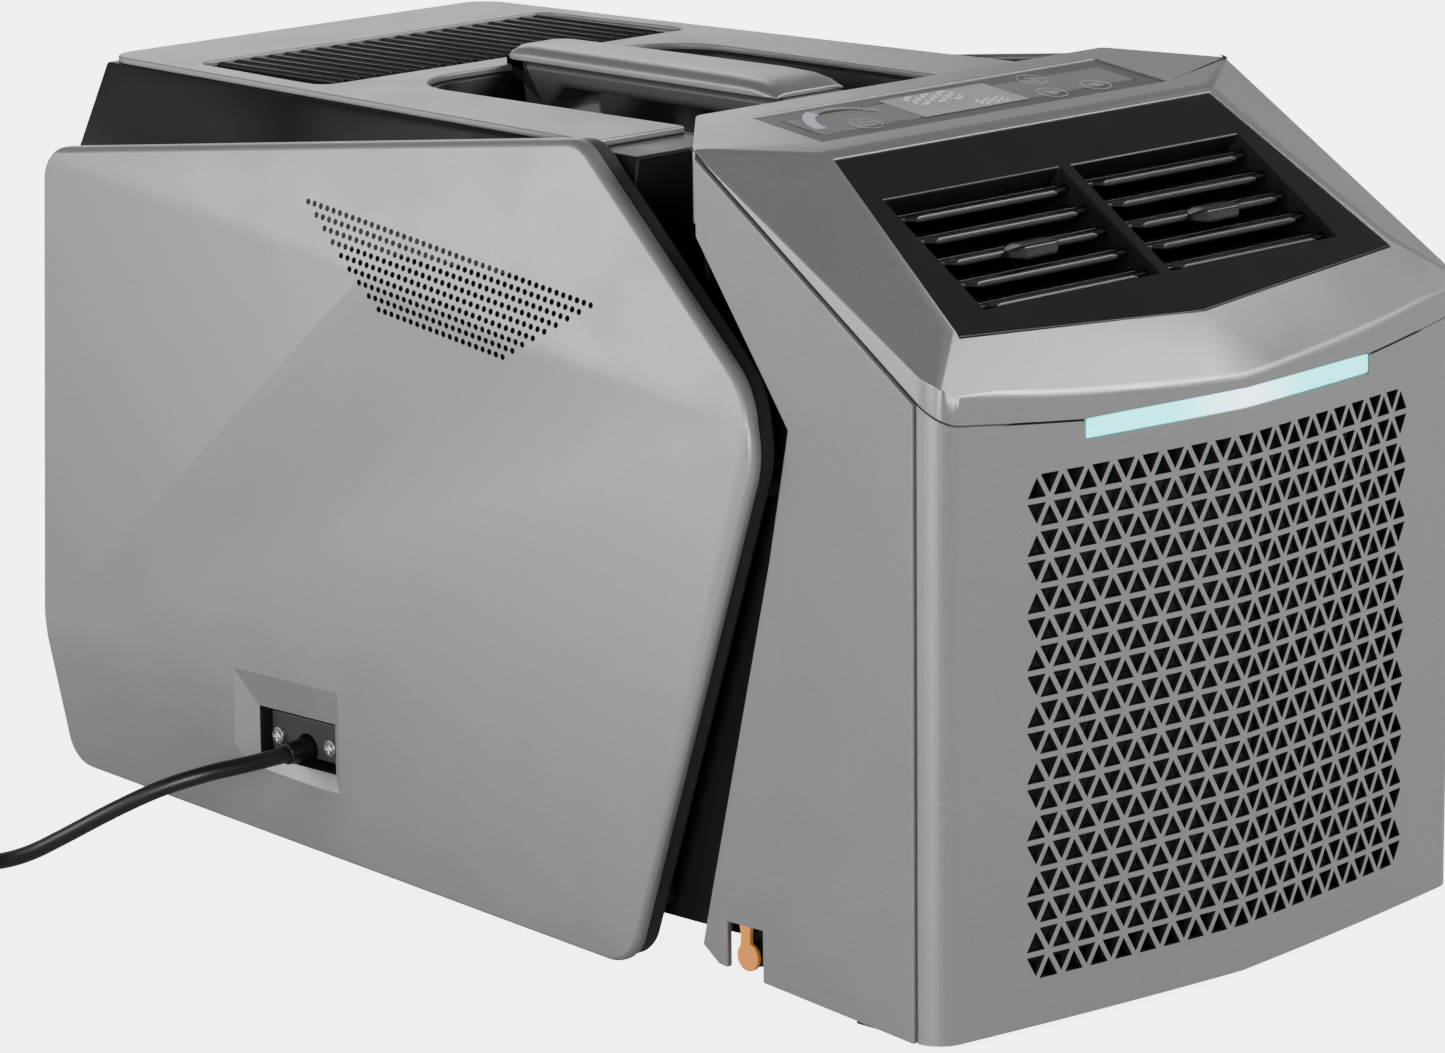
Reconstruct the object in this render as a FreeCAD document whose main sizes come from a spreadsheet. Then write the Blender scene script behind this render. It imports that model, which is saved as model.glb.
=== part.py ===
"""Portable air conditioner: a compact cooling unit with a fixed carrying handle.

The front faces -Y, +X is on the right of someone who looks at the front, and +Z is up.
The origin is on the floor, under the middle of the housing.  All sizes are millimetres.
"""
import FreeCAD, Part
import math
import os
import re
import Sketcher

Vector = FreeCAD.Vector
document = FreeCAD.newDocument("portable_air_conditioner")
sheet = document.addObject("Spreadsheet::Sheet", "Sizes")

SIZES = [
    # overall
    ("body_length", 533.4), ("front_width", 309.0), ("panel_span", 328.4), ("deck_height", 318.0),
    ("cap_rise", 13.0), ("front_gap", 3.0), ("wall", 3.0), ("seam_gap", 0.5), ("seat_gap", 0.3),
    # front housing
    ("fascia_lean_deg", 5.2), ("fascia_bow", 5.0), ("corner_radius", 12.0), ("front_depth", 139.6),
    ("seam_height", 245.3), ("seam_slope_deg", 35.2), ("cover_flange", 10.0), ("waist_height", 226.7),
    ("notch_width", 18.7), ("notch_height", 28.0), ("bottom_rise", 7.5),
    # lattice of the intake grille
    ("lattice_pitch", 12.5), ("lattice_rows", 18), ("lattice_columns", 18), ("lattice_rib", 2.1),
    ("lattice_bottom", 20.3),
    # light bar
    ("bar_half_length", 82.5), ("bar_height", 7.8), ("bar_depth", 4.0),
    # top cap and air outlets
    ("outlet_slope_deg", 34.5), ("panel_fall", 8.5), ("panel_length", 61.2), ("outlet_width", 98.5),
    ("outlet_length", 61.5),
    ("outlet_divider", 7.0), ("outlet_start", 28.0), ("sleeve_depth", 24.0), ("frame_margin", 4.5),
    ("frame_length", 95.7), ("frame_point", 12.0), ("frame_top_half", 108.0), ("frame_low_half", 125.0),
    ("blade_count", 5), ("blade_chord", 12.5), ("blade_lead", 0.47), ("blade_thick", 1.8),
    ("pivot_depth", 6.0), ("pivot_radius", 1.25), ("pivot_clearance", 0.05), ("pivot_length", 2.2),
    ("grip_width", 26.0),
    # rear body, side panels and deck
    ("body_half", 142.0), ("underside", 22.0), ("split_height", 226.0), ("panel_thick", 5.0),
    ("carrier_thick", 9.0), ("rim_width", 15.0), ("upper_lean", 0.2145), ("lower_lean", 0.117),
    ("deck_thick", 3.0), ("deck_rear_half", 108.5), ("deck_front_half", 129.0), ("deck_front", 218.0),
    ("vent_length", 85.0), ("vent_rear_half", 99.6), ("vent_front_half", 105.7), ("vent_inset", 47.7),
    ("vent_ribs", 22), ("vent_rib", 2.4),
    # handle and its well
    ("well_half", 80.0), ("well_rear", 118.0), ("well_depth", 50.0), ("well_radius", 32.0),
    ("handle_half", 20.0), ("handle_rise", 9.0), ("handle_thick", 16.0), ("handle_front", 226.0),
    # mains lead
    ("lead_diameter", 6.8), ("recess_width", 46.0), ("recess_height", 21.0),
    ("clamp_thick", 4.0), ("screw_head", 3.4), ("bush_length", 24.0), ("coil_height", 20.4),
    ("coil_outer", 47.6), ("coil_inner", 27.2),
    # cooling circuit and fans
    ("core_half", 118.0), ("core_thick", 24.0), ("core_height", 186.0), ("compressor_radius", 48.0),
    ("compressor_height", 140.0), ("pan_thick", 2.0), ("fan_radius", 88.0), ("fan_depth", 22.0),
    ("shaft_radius", 4.0), ("shaft_clearance", 0.05), ("fan_clearance", 4.0), ("motor_radius", 34.0),
    ("motor_length", 46.0), ("wheel_radius", 42.0), ("wheel_half", 88.0), ("scroll_radius", 54.0),
    ("scroll_half", 101.0), ("fan_blades", 5), ("wheel_blades", 32), ("core_inset", 24.0),
    ("condenser_inset", 76.0), ("condenser_trim", 6.0), ("scroll_gap", 6.0), ("scroll_height", 128.0),
    ("fan_height", 104.0), ("pan_rim", 12.0), ("can_radius", 20.0), ("can_length", 30.0),
    # small parts
    ("foot_radius", 9.0), ("front_foot_half", 118.0), ("rear_foot_half", 70.0), ("bung_radius", 5.6),
    ("bung_bore", 3.6),
]
for row, (alias, value) in enumerate(SIZES, start=1):
    sheet.set(f"A{row}", alias)
    sheet.set(f"B{row}", f"{value}")
    sheet.setAlias(f"B{row}", alias)
document.recompute()

ALIASES = {alias for alias, _ in SIZES}
NODES = []


def size(alias):
    """Read one driving dimension from the sheet."""
    return float(sheet.get(alias))


def linked(formula):
    """Point every alias in a formula at its cell."""
    return re.sub(r"[a-z_]+", lambda word: ("Sizes." if word[0] in ALIASES else "") + word[0], formula)


def node(piece, label):
    """List a piece of the product under the name of its file."""
    piece.Label = label
    NODES.append(piece)
    return piece


def made(label, shape):
    """List a piece whose shape is worked out from the sheet in code."""
    piece = document.addObject("Part::Feature", label)
    piece.Shape = shape
    return node(piece, label)


def box(name, low, high):
    """A box between two corners, each given as three formulas of the sheet."""
    piece = document.addObject("Part::Box", name)
    for side, axis, start, end in zip(("Length", "Width", "Height"), "xyz", low, high):
        piece.setExpression(side, linked(f"({end}) - ({start})"))
        piece.setExpression(f"Placement.Base.{axis}", linked(start))
    return piece


def cylinder(name, radius, height, centre, axis=Vector(0, 0, 1)):
    """A cylinder from the centre of its first face, with its sizes bound to the sheet."""
    piece = document.addObject("Part::Cylinder", name)
    piece.Placement = FreeCAD.Placement(Vector(), FreeCAD.Rotation(Vector(0, 0, 1), axis))
    piece.setExpression("Radius", linked(radius))
    piece.setExpression("Height", linked(height))
    for letter, formula in zip("xyz", centre):
        piece.setExpression(f"Placement.Base.{letter}", linked(formula))
    return piece


def cut(name, base, tool):
    """One bound object with another taken away."""
    piece = document.addObject("Part::Cut", name)
    piece.Base, piece.Tool = base, tool
    return piece


def join(name, pieces):
    """Several bound objects made one."""
    piece = document.addObject("Part::MultiFuse", name)
    piece.Shapes = pieces
    return piece


def profile(name, plane, outline, start, depth):
    """A PartDesign body: a sketched polygon on an origin plane, padded along the plane's normal.

    The outline's points and the start and depth of the pad are formulas of the sheet.
    """
    body = document.addObject("PartDesign::Body", name)
    sketch = body.newObject("Sketcher::SketchObject", name + "_sketch")
    base = next(item for item in body.Origin.OriginFeatures if item.Role == plane)
    sketch.AttachmentSupport = [(base, "")]
    sketch.MapMode = "FlatFace"
    sketch.setExpression("AttachmentOffset.Base.z", linked(start))
    count = len(outline)
    places = [[float(sheet.evalExpression(linked(part))) for part in point] for point in outline]
    for index in range(count):
        ends = [Vector(*places[index], 0), Vector(*places[(index + 1) % count], 0)]
        sketch.addGeometry(Part.LineSegment(*ends), False)
    for index in range(count):
        sketch.addConstraint(Sketcher.Constraint("Coincident", index, 2, (index + 1) % count, 1))
    for index, point in enumerate(outline):
        for kind, formula, place in zip(("DistanceX", "DistanceY"), point, places[index]):
            number = sketch.addConstraint(Sketcher.Constraint(kind, -1, 1, index, 1, place))
            sketch.setExpression(f"Constraints[{number}]", linked(formula))
    pad = body.newObject("PartDesign::Pad", name + "_pad")
    pad.Profile = sketch
    pad.setExpression("Length", linked(depth))
    body.Tip = pad
    return body


def prism(points, direction):
    """A solid swept straight from a closed polygon of points."""
    return Part.Face(Part.makePolygon(points + points[:1])).extrude(direction)


def trim(shape, point, normal):
    """Take away what lies beyond a plane, on the side its normal points to."""
    reach = 3 * size("body_length")
    block = Part.makeBox(reach, reach, reach, Vector(-reach / 2, -reach / 2, 0))
    block.Placement = FreeCAD.Placement(point, FreeCAD.Rotation(Vector(0, 0, 1), normal))
    return shape.cut(block)


def brick(low, high):
    """A plain box between two corners, for cuts inside a coded shape."""
    sides = [end - start for start, end in zip(low, high)]
    return Part.makeBox(*sides, Vector(*low))


def mirrored(shape):
    """The same shape on the other side of the middle plane."""
    return shape.mirror(Vector(), Vector(1, 0, 0))


def rounded(points, radii):
    """A closed polygon as a wire whose corners are arcs of the given radii."""
    edges, count, tangents = [], len(points), []
    for index, (corner, radius) in enumerate(zip(points, radii)):
        before = (points[index - 1] - corner).normalize()
        after = (points[(index + 1) % count] - corner).normalize()
        half = before.getAngle(after) / 2
        reach = radius / math.tan(half)
        middle = (before + after).normalize()
        centre = corner + middle * (radius / math.sin(half))
        tangents.append((corner + before * reach, centre - middle * radius, corner + after * reach))
    for index, (start, middle, end) in enumerate(tangents):
        edges.append(Part.Arc(start, middle, end).toShape())
        edges.append(Part.LineSegment(end, tangents[(index + 1) % count][0]).toShape())
    return Part.Wire(edges)


# places that several pieces share
FRONT = -size("body_length") / 2
REAR = size("body_length") / 2
HALF = size("front_width") / 2
SPAN = size("panel_span") / 2
CAP_TOP = size("deck_height") + size("cap_rise")
WALL = size("wall")
GAP = size("seam_gap")
FLOOR = size("front_gap")
LEAN = math.tan(math.radians(size("fascia_lean_deg")))
CORNER = FRONT + HALF * LEAN + size("fascia_bow")
COVER_BACK = FRONT + size("front_depth")
SLOPE = math.radians(size("outlet_slope_deg"))
SEAM = math.radians(size("seam_slope_deg"))
CAP_BACK = COVER_BACK + 36
PANEL_EDGE = CAP_BACK - size("panel_length")
OUTLET_TOP = Vector(0, PANEL_EDGE, CAP_TOP - size("panel_fall"))
DOWN_SLOPE = Vector(0, -math.cos(SLOPE), -math.sin(SLOPE))
SLOPE_NORMAL = Vector(0, -math.sin(SLOPE), math.cos(SLOPE))
FASCIA_BACK = CORNER + 9
UNDER = size("underside")
SPLIT = size("split_height")
DECK_UNDER = size("deck_height") - size("deck_thick")
WELL_FLOOR = size("deck_height") - size("well_depth")
BODY_FRONT = FRONT + 82
TRENCH = FRONT + 192
NECK_TOP = SPLIT + 24
DECK_FRONT = FRONT + size("deck_front")
GRILLE_HALF, GRILLE_LOW, GRILLE_TOP = size("core_half") - 6, UNDER + 76, SPLIT - 10
PAN_Z = UNDER + WALL
PAN_TOP = PAN_Z + size("pan_thick")
CORE_FRONT = FRONT + size("core_inset")
SCROLL_Y = CORE_FRONT + size("core_thick") + size("scroll_gap") + size("scroll_radius")
SCROLL_Z = size("scroll_height")
SCROLL_TOP = SCROLL_Z + size("scroll_radius") + 12
CONDENSER_Y = REAR - size("condenser_inset")
FAN_Y = CONDENSER_Y - size("fan_depth") - 16
FAN_Z = PAN_TOP + size("fan_height")
COMPRESSOR = Vector(-62, TRENCH + 70, PAN_TOP + 9)
RECESS_Y, RECESS_Z = REAR - 172.0, 61.5
RECESS_HALF = size("recess_width") / 2
CLAMP_X, SCREW_Z, SCREW_STEP = -SPAN + 7.2, RECESS_Z - 1.5, 15.7
LEAD = size("lead_diameter") / 2
LEAD_Z = RECESS_Z - 4.8
BUSH_END = -SPAN - 4.3
BUSH_START = BUSH_END + size("bush_length")
COIL = Vector(-288, 246, 0)
BUNG_Y, BUNG_Z = COVER_BACK - 22.9, FLOOR + 15.2
SEAM_POINT = Vector(0, FASCIA_BACK, size("seam_height"))
SEAM_NORMAL = Vector(0, math.sin(SEAM), -math.cos(SEAM))


CAP_SKIRT = size("deck_height") - 20
OUT = Vector(-1, 0, 0)


def seam_z(y):
    """Height of the seam under the cap, at one place along the housing."""
    return SEAM_POINT.z + (y - SEAM_POINT.y) * math.tan(SEAM)


BAR_TOP = seam_z(FRONT + size("bar_half_length") * LEAN + 1.4)


def on_outlet(x, along, depth):
    """A point by its place on the outlet slope: across, down the slope and into the housing."""
    return OUTLET_TOP + DOWN_SLOPE * along - SLOPE_NORMAL * depth + Vector(x, 0, 0)


def outlet_prism(corners, start, end):
    """A prism square to the outlet slope, from its corners (across, down) and two depths."""
    points = [on_outlet(x, along, start) for x, along in corners]
    return prism(points, SLOPE_NORMAL * (start - end))


def front_outline(inset, back):
    """Plan of the front housing as a face: bowed V front, round corners and straight sides."""
    radius = size("corner_radius") - inset
    tip = Vector(0, FRONT + inset, 0)
    edge = Vector(HALF - inset - radius, CORNER + inset - 3, 0)
    bow = Vector(edge.x / 2, (tip.y + edge.y) / 2 - size("fascia_bow") / 4, 0)
    front = Part.Arc(tip, bow, edge)
    tangent = front.tangent(front.LastParameter)[0]
    turn = Vector(-tangent.y, tangent.x, 0)
    centre = edge + turn * radius
    side = centre.x + radius
    mid = centre + (Vector(1, 0, 0) - turn).normalize() * radius
    corner = Part.Arc(edge, mid, Vector(side, centre.y, 0))
    half = [front.toShape(), corner.toShape(),
            Part.LineSegment(Vector(side, centre.y, 0), Vector(side, back, 0)).toShape()]
    other = [mirrored(item) for item in half]
    close = Part.LineSegment(Vector(side, back, 0), Vector(-side, back, 0)).toShape()
    return Part.Face(Part.Wire(Part.__sortEdges__(half + other + [close])))


def front_block(inset, back, low, high):
    """The front housing's outline as a solid between two heights."""
    face = front_outline(inset, back)
    face.translate(Vector(0, 0, low))
    return face.extrude(Vector(0, 0, high - low))


# ---- front housing -------------------------------------------------------------------------

def lattice_holes():
    """Triangular holes of the intake, as one compound of upright prisms along Y."""
    pitch, rib = size("lattice_pitch"), size("lattice_rib")
    height = pitch * math.sqrt(3) / 2
    inset = rib / 2
    rows, columns = int(size("lattice_rows")), int(size("lattice_columns"))
    faces = []
    start = FRONT - 5
    for row in range(rows):
        low = size("lattice_bottom") + row * height
        for step in range(2 * columns - 1):
            up = (step + row) % 2 == 1
            centre = (step / 2 - (columns - 1) / 2) * pitch
            half = pitch / 2 - inset * math.sqrt(3)
            base = low + inset if up else low + height - inset
            apex = low + height - 2 * inset if up else low + 2 * inset
            points = [Vector(centre - half, start, base), Vector(centre + half, start, base),
                      Vector(centre, start, apex)]
            faces.append(prism(points, Vector(0, 60, 0)))
    return Part.makeCompound(faces)


def front_fascia():
    """Bowed front with the light bar's slot and the triangular intake lattice."""
    top = size("seam_height") + 20
    shell = front_block(0, COVER_BACK, FLOOR, top).cut(front_block(WALL, COVER_BACK + 1, FLOOR - 1, top + 1))
    shell = shell.cut(brick((-HALF - 1, FASCIA_BACK, 0), (HALF + 1, COVER_BACK + 5, top + 1)))
    shell = trim(shell, SEAM_POINT + SEAM_NORMAL * GAP / 2, SEAM_NORMAL * -1)
    half, high = size("bar_half_length"), seam_z(FRONT + 9) + 40
    low = BAR_TOP - size("bar_height")
    shell = shell.cut(brick((-half, FRONT - 5, low), (half, FRONT + 40, high)))
    return shell.cut(lattice_holes())


def light_bar():
    """Diffuser strip that follows the V of the fascia."""
    half, clear = size("bar_half_length") - 0.3, 0.3
    block = front_block(0, COVER_BACK, BAR_TOP - size("bar_height") + clear, BAR_TOP - clear)
    block = block.cut(front_block(size("bar_depth"), COVER_BACK + 1, 0, CAP_TOP))
    return block.common(brick((-half, FRONT - 5, 0), (half, FRONT + 40, CAP_TOP)))


def front_cover():
    """Left side cover of the front housing: its rear edge follows the side panel's front."""
    waist, back, top = size("waist_height"), COVER_BACK, seam_z(COVER_BACK)
    rise = size("bottom_rise")
    rear = [(back - 33, FLOOR + rise), (back - 9.5, FLOOR + rise + 2.8), (back - 1, FLOOR + rise + 9),
            (back - 38, waist - 51), (back - 48, waist),
            (back - 1, waist + 67), (back, top)]
    side = [(FASCIA_BACK + GAP, FLOOR)] + rear + [(FASCIA_BACK + GAP, seam_z(FASCIA_BACK))]
    block = prism([Vector(-HALF, y, z) for y, z in side], Vector(size("cover_flange"), 0, 0))
    inner = [(y - WALL, z) for y, z in rear[2:]]
    inner = [(FASCIA_BACK - 5, -5), (back - 1 - WALL, -5)] + inner + [(back - WALL, top + 40),
                                                                     (FASCIA_BACK - 5, top + 40)]
    block = block.cut(prism([Vector(-HALF + WALL, y, z) for y, z in inner], Vector(50, 0, 0)))
    notch = brick((-HALF - 1, back - 33, 0), (-HALF + 20, back - 33 + size("notch_width"),
                                            FLOOR + size("notch_height")))
    return trim(block.cut(notch), SEAM_POINT + SEAM_NORMAL * GAP / 2, SEAM_NORMAL * -1)


def cap_block(inset):
    """The cap's outer form, or the form of its inside when it is inset by the wall."""
    height, side = CAP_TOP, size("frame_low_half") + 4
    block = front_block(inset, CAP_BACK - inset, size("underside"), height)
    fall = Vector(0, -size("panel_fall"), CAP_BACK - PANEL_EDGE).normalize()
    planes = [(Vector(0, CAP_BACK, height), fall), (OUTLET_TOP, SLOPE_NORMAL)]
    low = on_outlet(0, size("frame_margin") + size("frame_length") + size("frame_point") + 1, 0)
    kink = Vector(0, FRONT + 1, seam_z(FRONT) + 12)
    corner = Vector(HALF - 14, CORNER - 2, size("seam_height") + 4)
    for sign in (1, -1):
        wide = Vector(sign * corner.x, corner.y, corner.z)
        brow = (wide - kink).cross(low - kink).normalize()
        planes.append((kink, brow * (-1 if brow.z < 0 else 1)))
        edge = [on_outlet(sign * (size("frame_top_half") + 4), 0, 0),
                on_outlet(sign * side, size("frame_length"), 0),
                Vector(sign * (HALF - 2), FASCIA_BACK - 4, size("seam_height") + 8.5)]
        slope = (edge[1] - edge[0]).cross(edge[2] - edge[0]).normalize()
        planes.append((edge[0], slope * (-1 if slope.z < 0 else 1)))
        diagonal = Vector(sign * 36, 38, 0).normalize()
        planes.append((Vector(sign * HALF, COVER_BACK, 0), diagonal))
    for point, normal in planes:
        block = trim(block, point - normal * inset, normal)
    return block


def frame_corners(margin):
    """Corners of the outlet frame on the slope, grown by a margin."""
    top, low = size("frame_margin") - margin, size("frame_margin") + size("frame_length") + margin
    wide, narrow = size("frame_low_half") + margin, size("frame_top_half") + margin
    return [(-narrow, top), (narrow, top), (wide, low), (0, low + size("frame_point")), (-wide, low)]


def top_cap():
    """Sloping cover of the front housing, open for the outlets and the control panel."""
    block = cap_block(0)
    rear = block.common(brick((-HALF, COVER_BACK + GAP, CAP_SKIRT), (HALF, CAP_BACK + 1, CAP_TOP + 1)))
    cap = trim(block, SEAM_POINT - SEAM_NORMAL * GAP / 2, SEAM_NORMAL).fuse(rear)
    cap = cap.cut(cap_block(WALL)).removeSplitter()
    half = size("bar_half_length")
    cap = cap.cut(brick((-half, FRONT - 5, 0), (half, FRONT + 30, BAR_TOP)))
    cap = cap.cut(outlet_prism(frame_corners(0.3), -30, 12))
    return cap.cut(brick((-99, CAP_BACK - 49.6, CAP_TOP - 25), (99, CAP_BACK - 11.4, CAP_TOP + 5)))


def panel_plate(inset, depth, thick):
    """A plate let into the top of the cap, parallel to the control panel's slope."""
    fall = Vector(0, -size("panel_fall"), CAP_BACK - PANEL_EDGE).normalize()
    along = Vector(0, -fall.z, fall.y)
    start = Vector(0, CAP_BACK, CAP_TOP) + along * (12.4 + inset) - fall * depth
    end = start + along * (37 - 2 * inset)
    half = 98.6 - inset
    corners = [start + Vector(-half, 0, 0), start + Vector(half, 0, 0), end + Vector(half, 0, 0),
               end + Vector(-half, 0, 0)]
    return prism(corners, fall * -thick)


def outlet_frame():
    """Black bezel with two openings and the sleeve that carries the blades' pivots."""
    width, divider = size("outlet_width"), size("outlet_divider") / 2
    start, end = size("outlet_start"), size("outlet_start") + size("outlet_length")
    out = divider + width
    plate = outlet_prism(frame_corners(0), 0.5, WALL)
    wide = out + WALL
    corners = [(-wide, start - 2), (wide, start - 2), (wide, end + 2), (-wide, end + 2)]
    sleeve = outlet_prism(corners, 1, size("sleeve_depth"))
    frame = plate.fuse(sleeve).removeSplitter()
    for sign in (1, -1):
        hole = [(sign * divider, start), (sign * out, start), (sign * out, end), (sign * divider, end)]
        frame = frame.cut(outlet_prism(hole, -2, size("sleeve_depth") + 2))
    radius = size("pivot_radius") + size("pivot_clearance")
    reach = size("pivot_length") + 0.4
    for index in range(int(size("blade_count"))):
        for x in (-out - reach, -divider, divider - reach, out):
            start_point = blade_pivot(index) + Vector(x - 0.01, 0, 0)
            frame = frame.cut(Part.makeCylinder(radius, reach + 0.02, start_point, Vector(1, 0, 0)))
    return frame


def blade_pivot(index):
    """Middle of one blade's axis, on the middle plane of the housing."""
    pitch = size("outlet_length") / size("blade_count")
    return on_outlet(0, size("outlet_start") + pitch * (index + 0.5), size("pivot_depth"))


def blade(side, index):
    """One louvre blade, level at rest, with a stepped front edge and a pivot pin at each end."""
    width, chord, thick = size("outlet_width") - 1.2, size("blade_chord"), size("blade_thick")
    lead = size("blade_lead")
    middle = side * (size("outlet_divider") + size("outlet_width")) / 2
    front, half = -chord * lead, width / 2
    outline = [(-half, front + 3), (-half + 6, front + 3), (-half + 9, front), (half - 9, front),
               (half - 6, front + 3), (half, front + 3), (half, front + chord), (-half, front + chord)]
    vane = prism([Vector(x, y, -thick / 2) for x, y in outline], Vector(0, 0, thick))
    length = size("outlet_width") + 2 * size("pivot_length")
    pin = Part.makeCylinder(size("pivot_radius"), length, Vector(-length / 2, 0, 0), Vector(1, 0, 0))
    shape = vane.fuse(pin).removeSplitter()
    shape.translate(blade_pivot(index) + Vector(middle, 0, 0))
    return shape


def blade_grip(side):
    """Finger tab that clips on the front edge of the middle blade."""
    half, front = size("grip_width") / 2, -size("blade_chord") * size("blade_lead")
    thick = size("blade_thick") / 2
    outline = [(front - 5, -3), (front - 5, 3), (front + 5, 3), (front + 5, thick), (front, thick),
               (front, -thick), (front + 5, -thick), (front + 5, -3)]
    shape = prism([Vector(-half, y, z) for y, z in outline], Vector(2 * half, 0, 0))
    middle = side * (size("outlet_divider") + size("outlet_width")) / 2
    shape.translate(blade_pivot(2) + Vector(middle, 0, 0))
    return shape


made("front_fascia", front_fascia())
made("light_bar", light_bar())
COVER = front_cover()
made("left_front_cover", COVER)
made("right_front_cover", mirrored(COVER))
made("top_cap", top_cap())
made("control_panel", panel_plate(0, 0.6, 2.4).cut(panel_plate(8, 0, 6)).fuse(panel_plate(0, 3, 1)))
made("touch_glass", panel_plate(8.3, 0.4, 2.5))
made("outlet_frame", outlet_frame())
for side_name, side in (("left", -1), ("right", 1)):
    for index in range(int(size("blade_count"))):
        made(f"{side_name}_blade_{index + 1}", blade(side, index))
    made(f"{side_name}_blade_grip", blade_grip(side))


# ---- rear body, deck and side panels -------------------------------------------------------

def side_view(points, half):
    """A solid of a side view (y, z), as wide as the housing between two flanks."""
    return prism([Vector(-half, y, z) for y, z in points], Vector(2 * half, 0, 0))


def lower_body_shell():
    """Lower tub of the rear body, open on top and to the front."""
    half = size("body_half")
    outer = [(BODY_FRONT, UNDER), (REAR - 52, UNDER), (REAR - 19, UNDER + 63), (REAR - 7, SPLIT),
             (BODY_FRONT, SPLIT)]
    inner = [(BODY_FRONT - 1, UNDER + WALL), (REAR - 53.6, UNDER + WALL), (REAR - 19 - WALL, UNDER + 64),
             (REAR - 7 - WALL, SPLIT + 1), (BODY_FRONT - 1, SPLIT + 1)]
    shell = side_view(outer, half).cut(side_view(inner, half - WALL))
    return shell.cut(brick((-GRILLE_HALF, REAR - 60, GRILLE_LOW), (GRILLE_HALF, REAR, GRILLE_TOP)))


def body_section(y, inset):
    """Cross section of the upper body at one place: upright flanks, then facets up to the deck."""
    share = (y - TRENCH) / (REAR - TRENCH)
    blend = lambda front, rear: front + (rear - front) * share
    half = size("body_half")
    top = blend(size("deck_front_half") + 2, size("deck_rear_half"))
    profile_points = [(half, SPLIT - inset), (half, SPLIT + 19), (blend(half - 5, half - 15), SPLIT + 56),
                      (top, DECK_UNDER - inset)]
    points = [Vector(x - inset, y, z) for x, z in profile_points]
    points += [Vector(-point.x, y, point.z) for point in reversed(points)]
    return Part.makePolygon(points + points[:1])


def vent_outline(margin, low, high):
    """The deck vent's four-sided opening as a prism, grown by a margin."""
    rear = REAR - size("vent_inset")
    wide, narrow = size("vent_front_half"), size("vent_rear_half")
    corners = [(-wide, rear - size("vent_length")), (wide, rear - size("vent_length")), (narrow, rear),
               (-narrow, rear)]
    points = [Vector(x, y, low) for x, y in corners]
    face = Part.Face(rounded(points, [8.0] * 4))
    if margin:
        face = face.makeOffset2D(margin)
    return face.extrude(Vector(0, 0, high - low))


def well_outline(margin, low, high):
    """The handle well's opening as a prism, open to the front, grown by a margin."""
    half, rear, radius = size("well_half") + margin, size("well_rear") + margin, size("well_radius")
    points = [Vector(-half, TRENCH - 5, low), Vector(half, TRENCH - 5, low), Vector(half, rear, low),
              Vector(-half, rear, low)]
    return Part.Face(rounded(points, [0.5, 0.5, radius, radius])).extrude(Vector(0, 0, high - low))


def upper_body_shell():
    """Upper shell of the rear body: faceted flanks, a trench in front and a neck under it."""
    outer = Part.makeLoft([body_section(TRENCH, 0), body_section(REAR, 0)], True, True)
    flank = size("body_half") - 0.01
    outer = outer.fuse(brick((-flank, BODY_FRONT, SPLIT), (flank, TRENCH, NECK_TOP)))
    inner = Part.makeLoft([body_section(TRENCH + WALL, WALL), body_section(REAR - WALL, WALL)], True, True)
    half = size("body_half") - WALL
    inner = inner.fuse(brick((-half, BODY_FRONT - 1, SPLIT - 1), (half, TRENCH + WALL + 1, NECK_TOP - WALL)))
    lean = Vector(0, 1, -7.0 / (DECK_UNDER - SPLIT)).normalize()
    outer = trim(outer, Vector(0, REAR, DECK_UNDER), lean)
    inner = trim(inner, Vector(0, REAR - WALL, DECK_UNDER), lean)
    shell = outer.cut(inner)
    shell = shell.cut(brick((-half, BODY_FRONT - 1, SPLIT - 1), (half, COVER_BACK - 2, NECK_TOP + 1)))
    shell = shell.cut(vent_outline(0, DECK_UNDER - 10, DECK_UNDER + 10))
    shell = shell.cut(well_outline(size("seat_gap"), WELL_FLOOR, DECK_UNDER + 10))
    return shell.removeSplitter()


def top_deck():
    """Flat painted deck with its vent and its handle well, rounded down at the front."""
    front, rear = size("deck_front_half"), size("deck_rear_half")
    points = [Vector(-front, DECK_FRONT, DECK_UNDER), Vector(front, DECK_FRONT, DECK_UNDER),
              Vector(rear, REAR, DECK_UNDER), Vector(-rear, REAR, DECK_UNDER)]
    plate = Part.Face(rounded(points, [3.0, 3.0, 14.0, 14.0])).extrude(Vector(0, 0, size("deck_thick")))
    plate = plate.cut(vent_outline(0, DECK_UNDER - 1, DECK_UNDER + 10))
    return plate.cut(well_outline(0, DECK_UNDER - 1, DECK_UNDER + 10))


def deck_vent_grille():
    """Black grille in the deck: ribs along the housing between two cross bars."""
    clear = size("seat_gap")
    block = vent_outline(-clear, DECK_UNDER - 4, DECK_UNDER + 1.5)
    slots, count, rib = block, int(size("vent_ribs")), size("vent_rib")
    pitch = 2 * size("vent_rear_half") / count
    rear = REAR - size("vent_inset")
    for index in range(count):
        x = (index - (count - 1) / 2) * pitch
        slots = slots.cut(brick((x - (pitch - rib) / 2, rear - size("vent_length") + 4, DECK_UNDER - 6),
                                (x + (pitch - rib) / 2, rear - 4, DECK_UNDER + 4)))
    return slots


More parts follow.
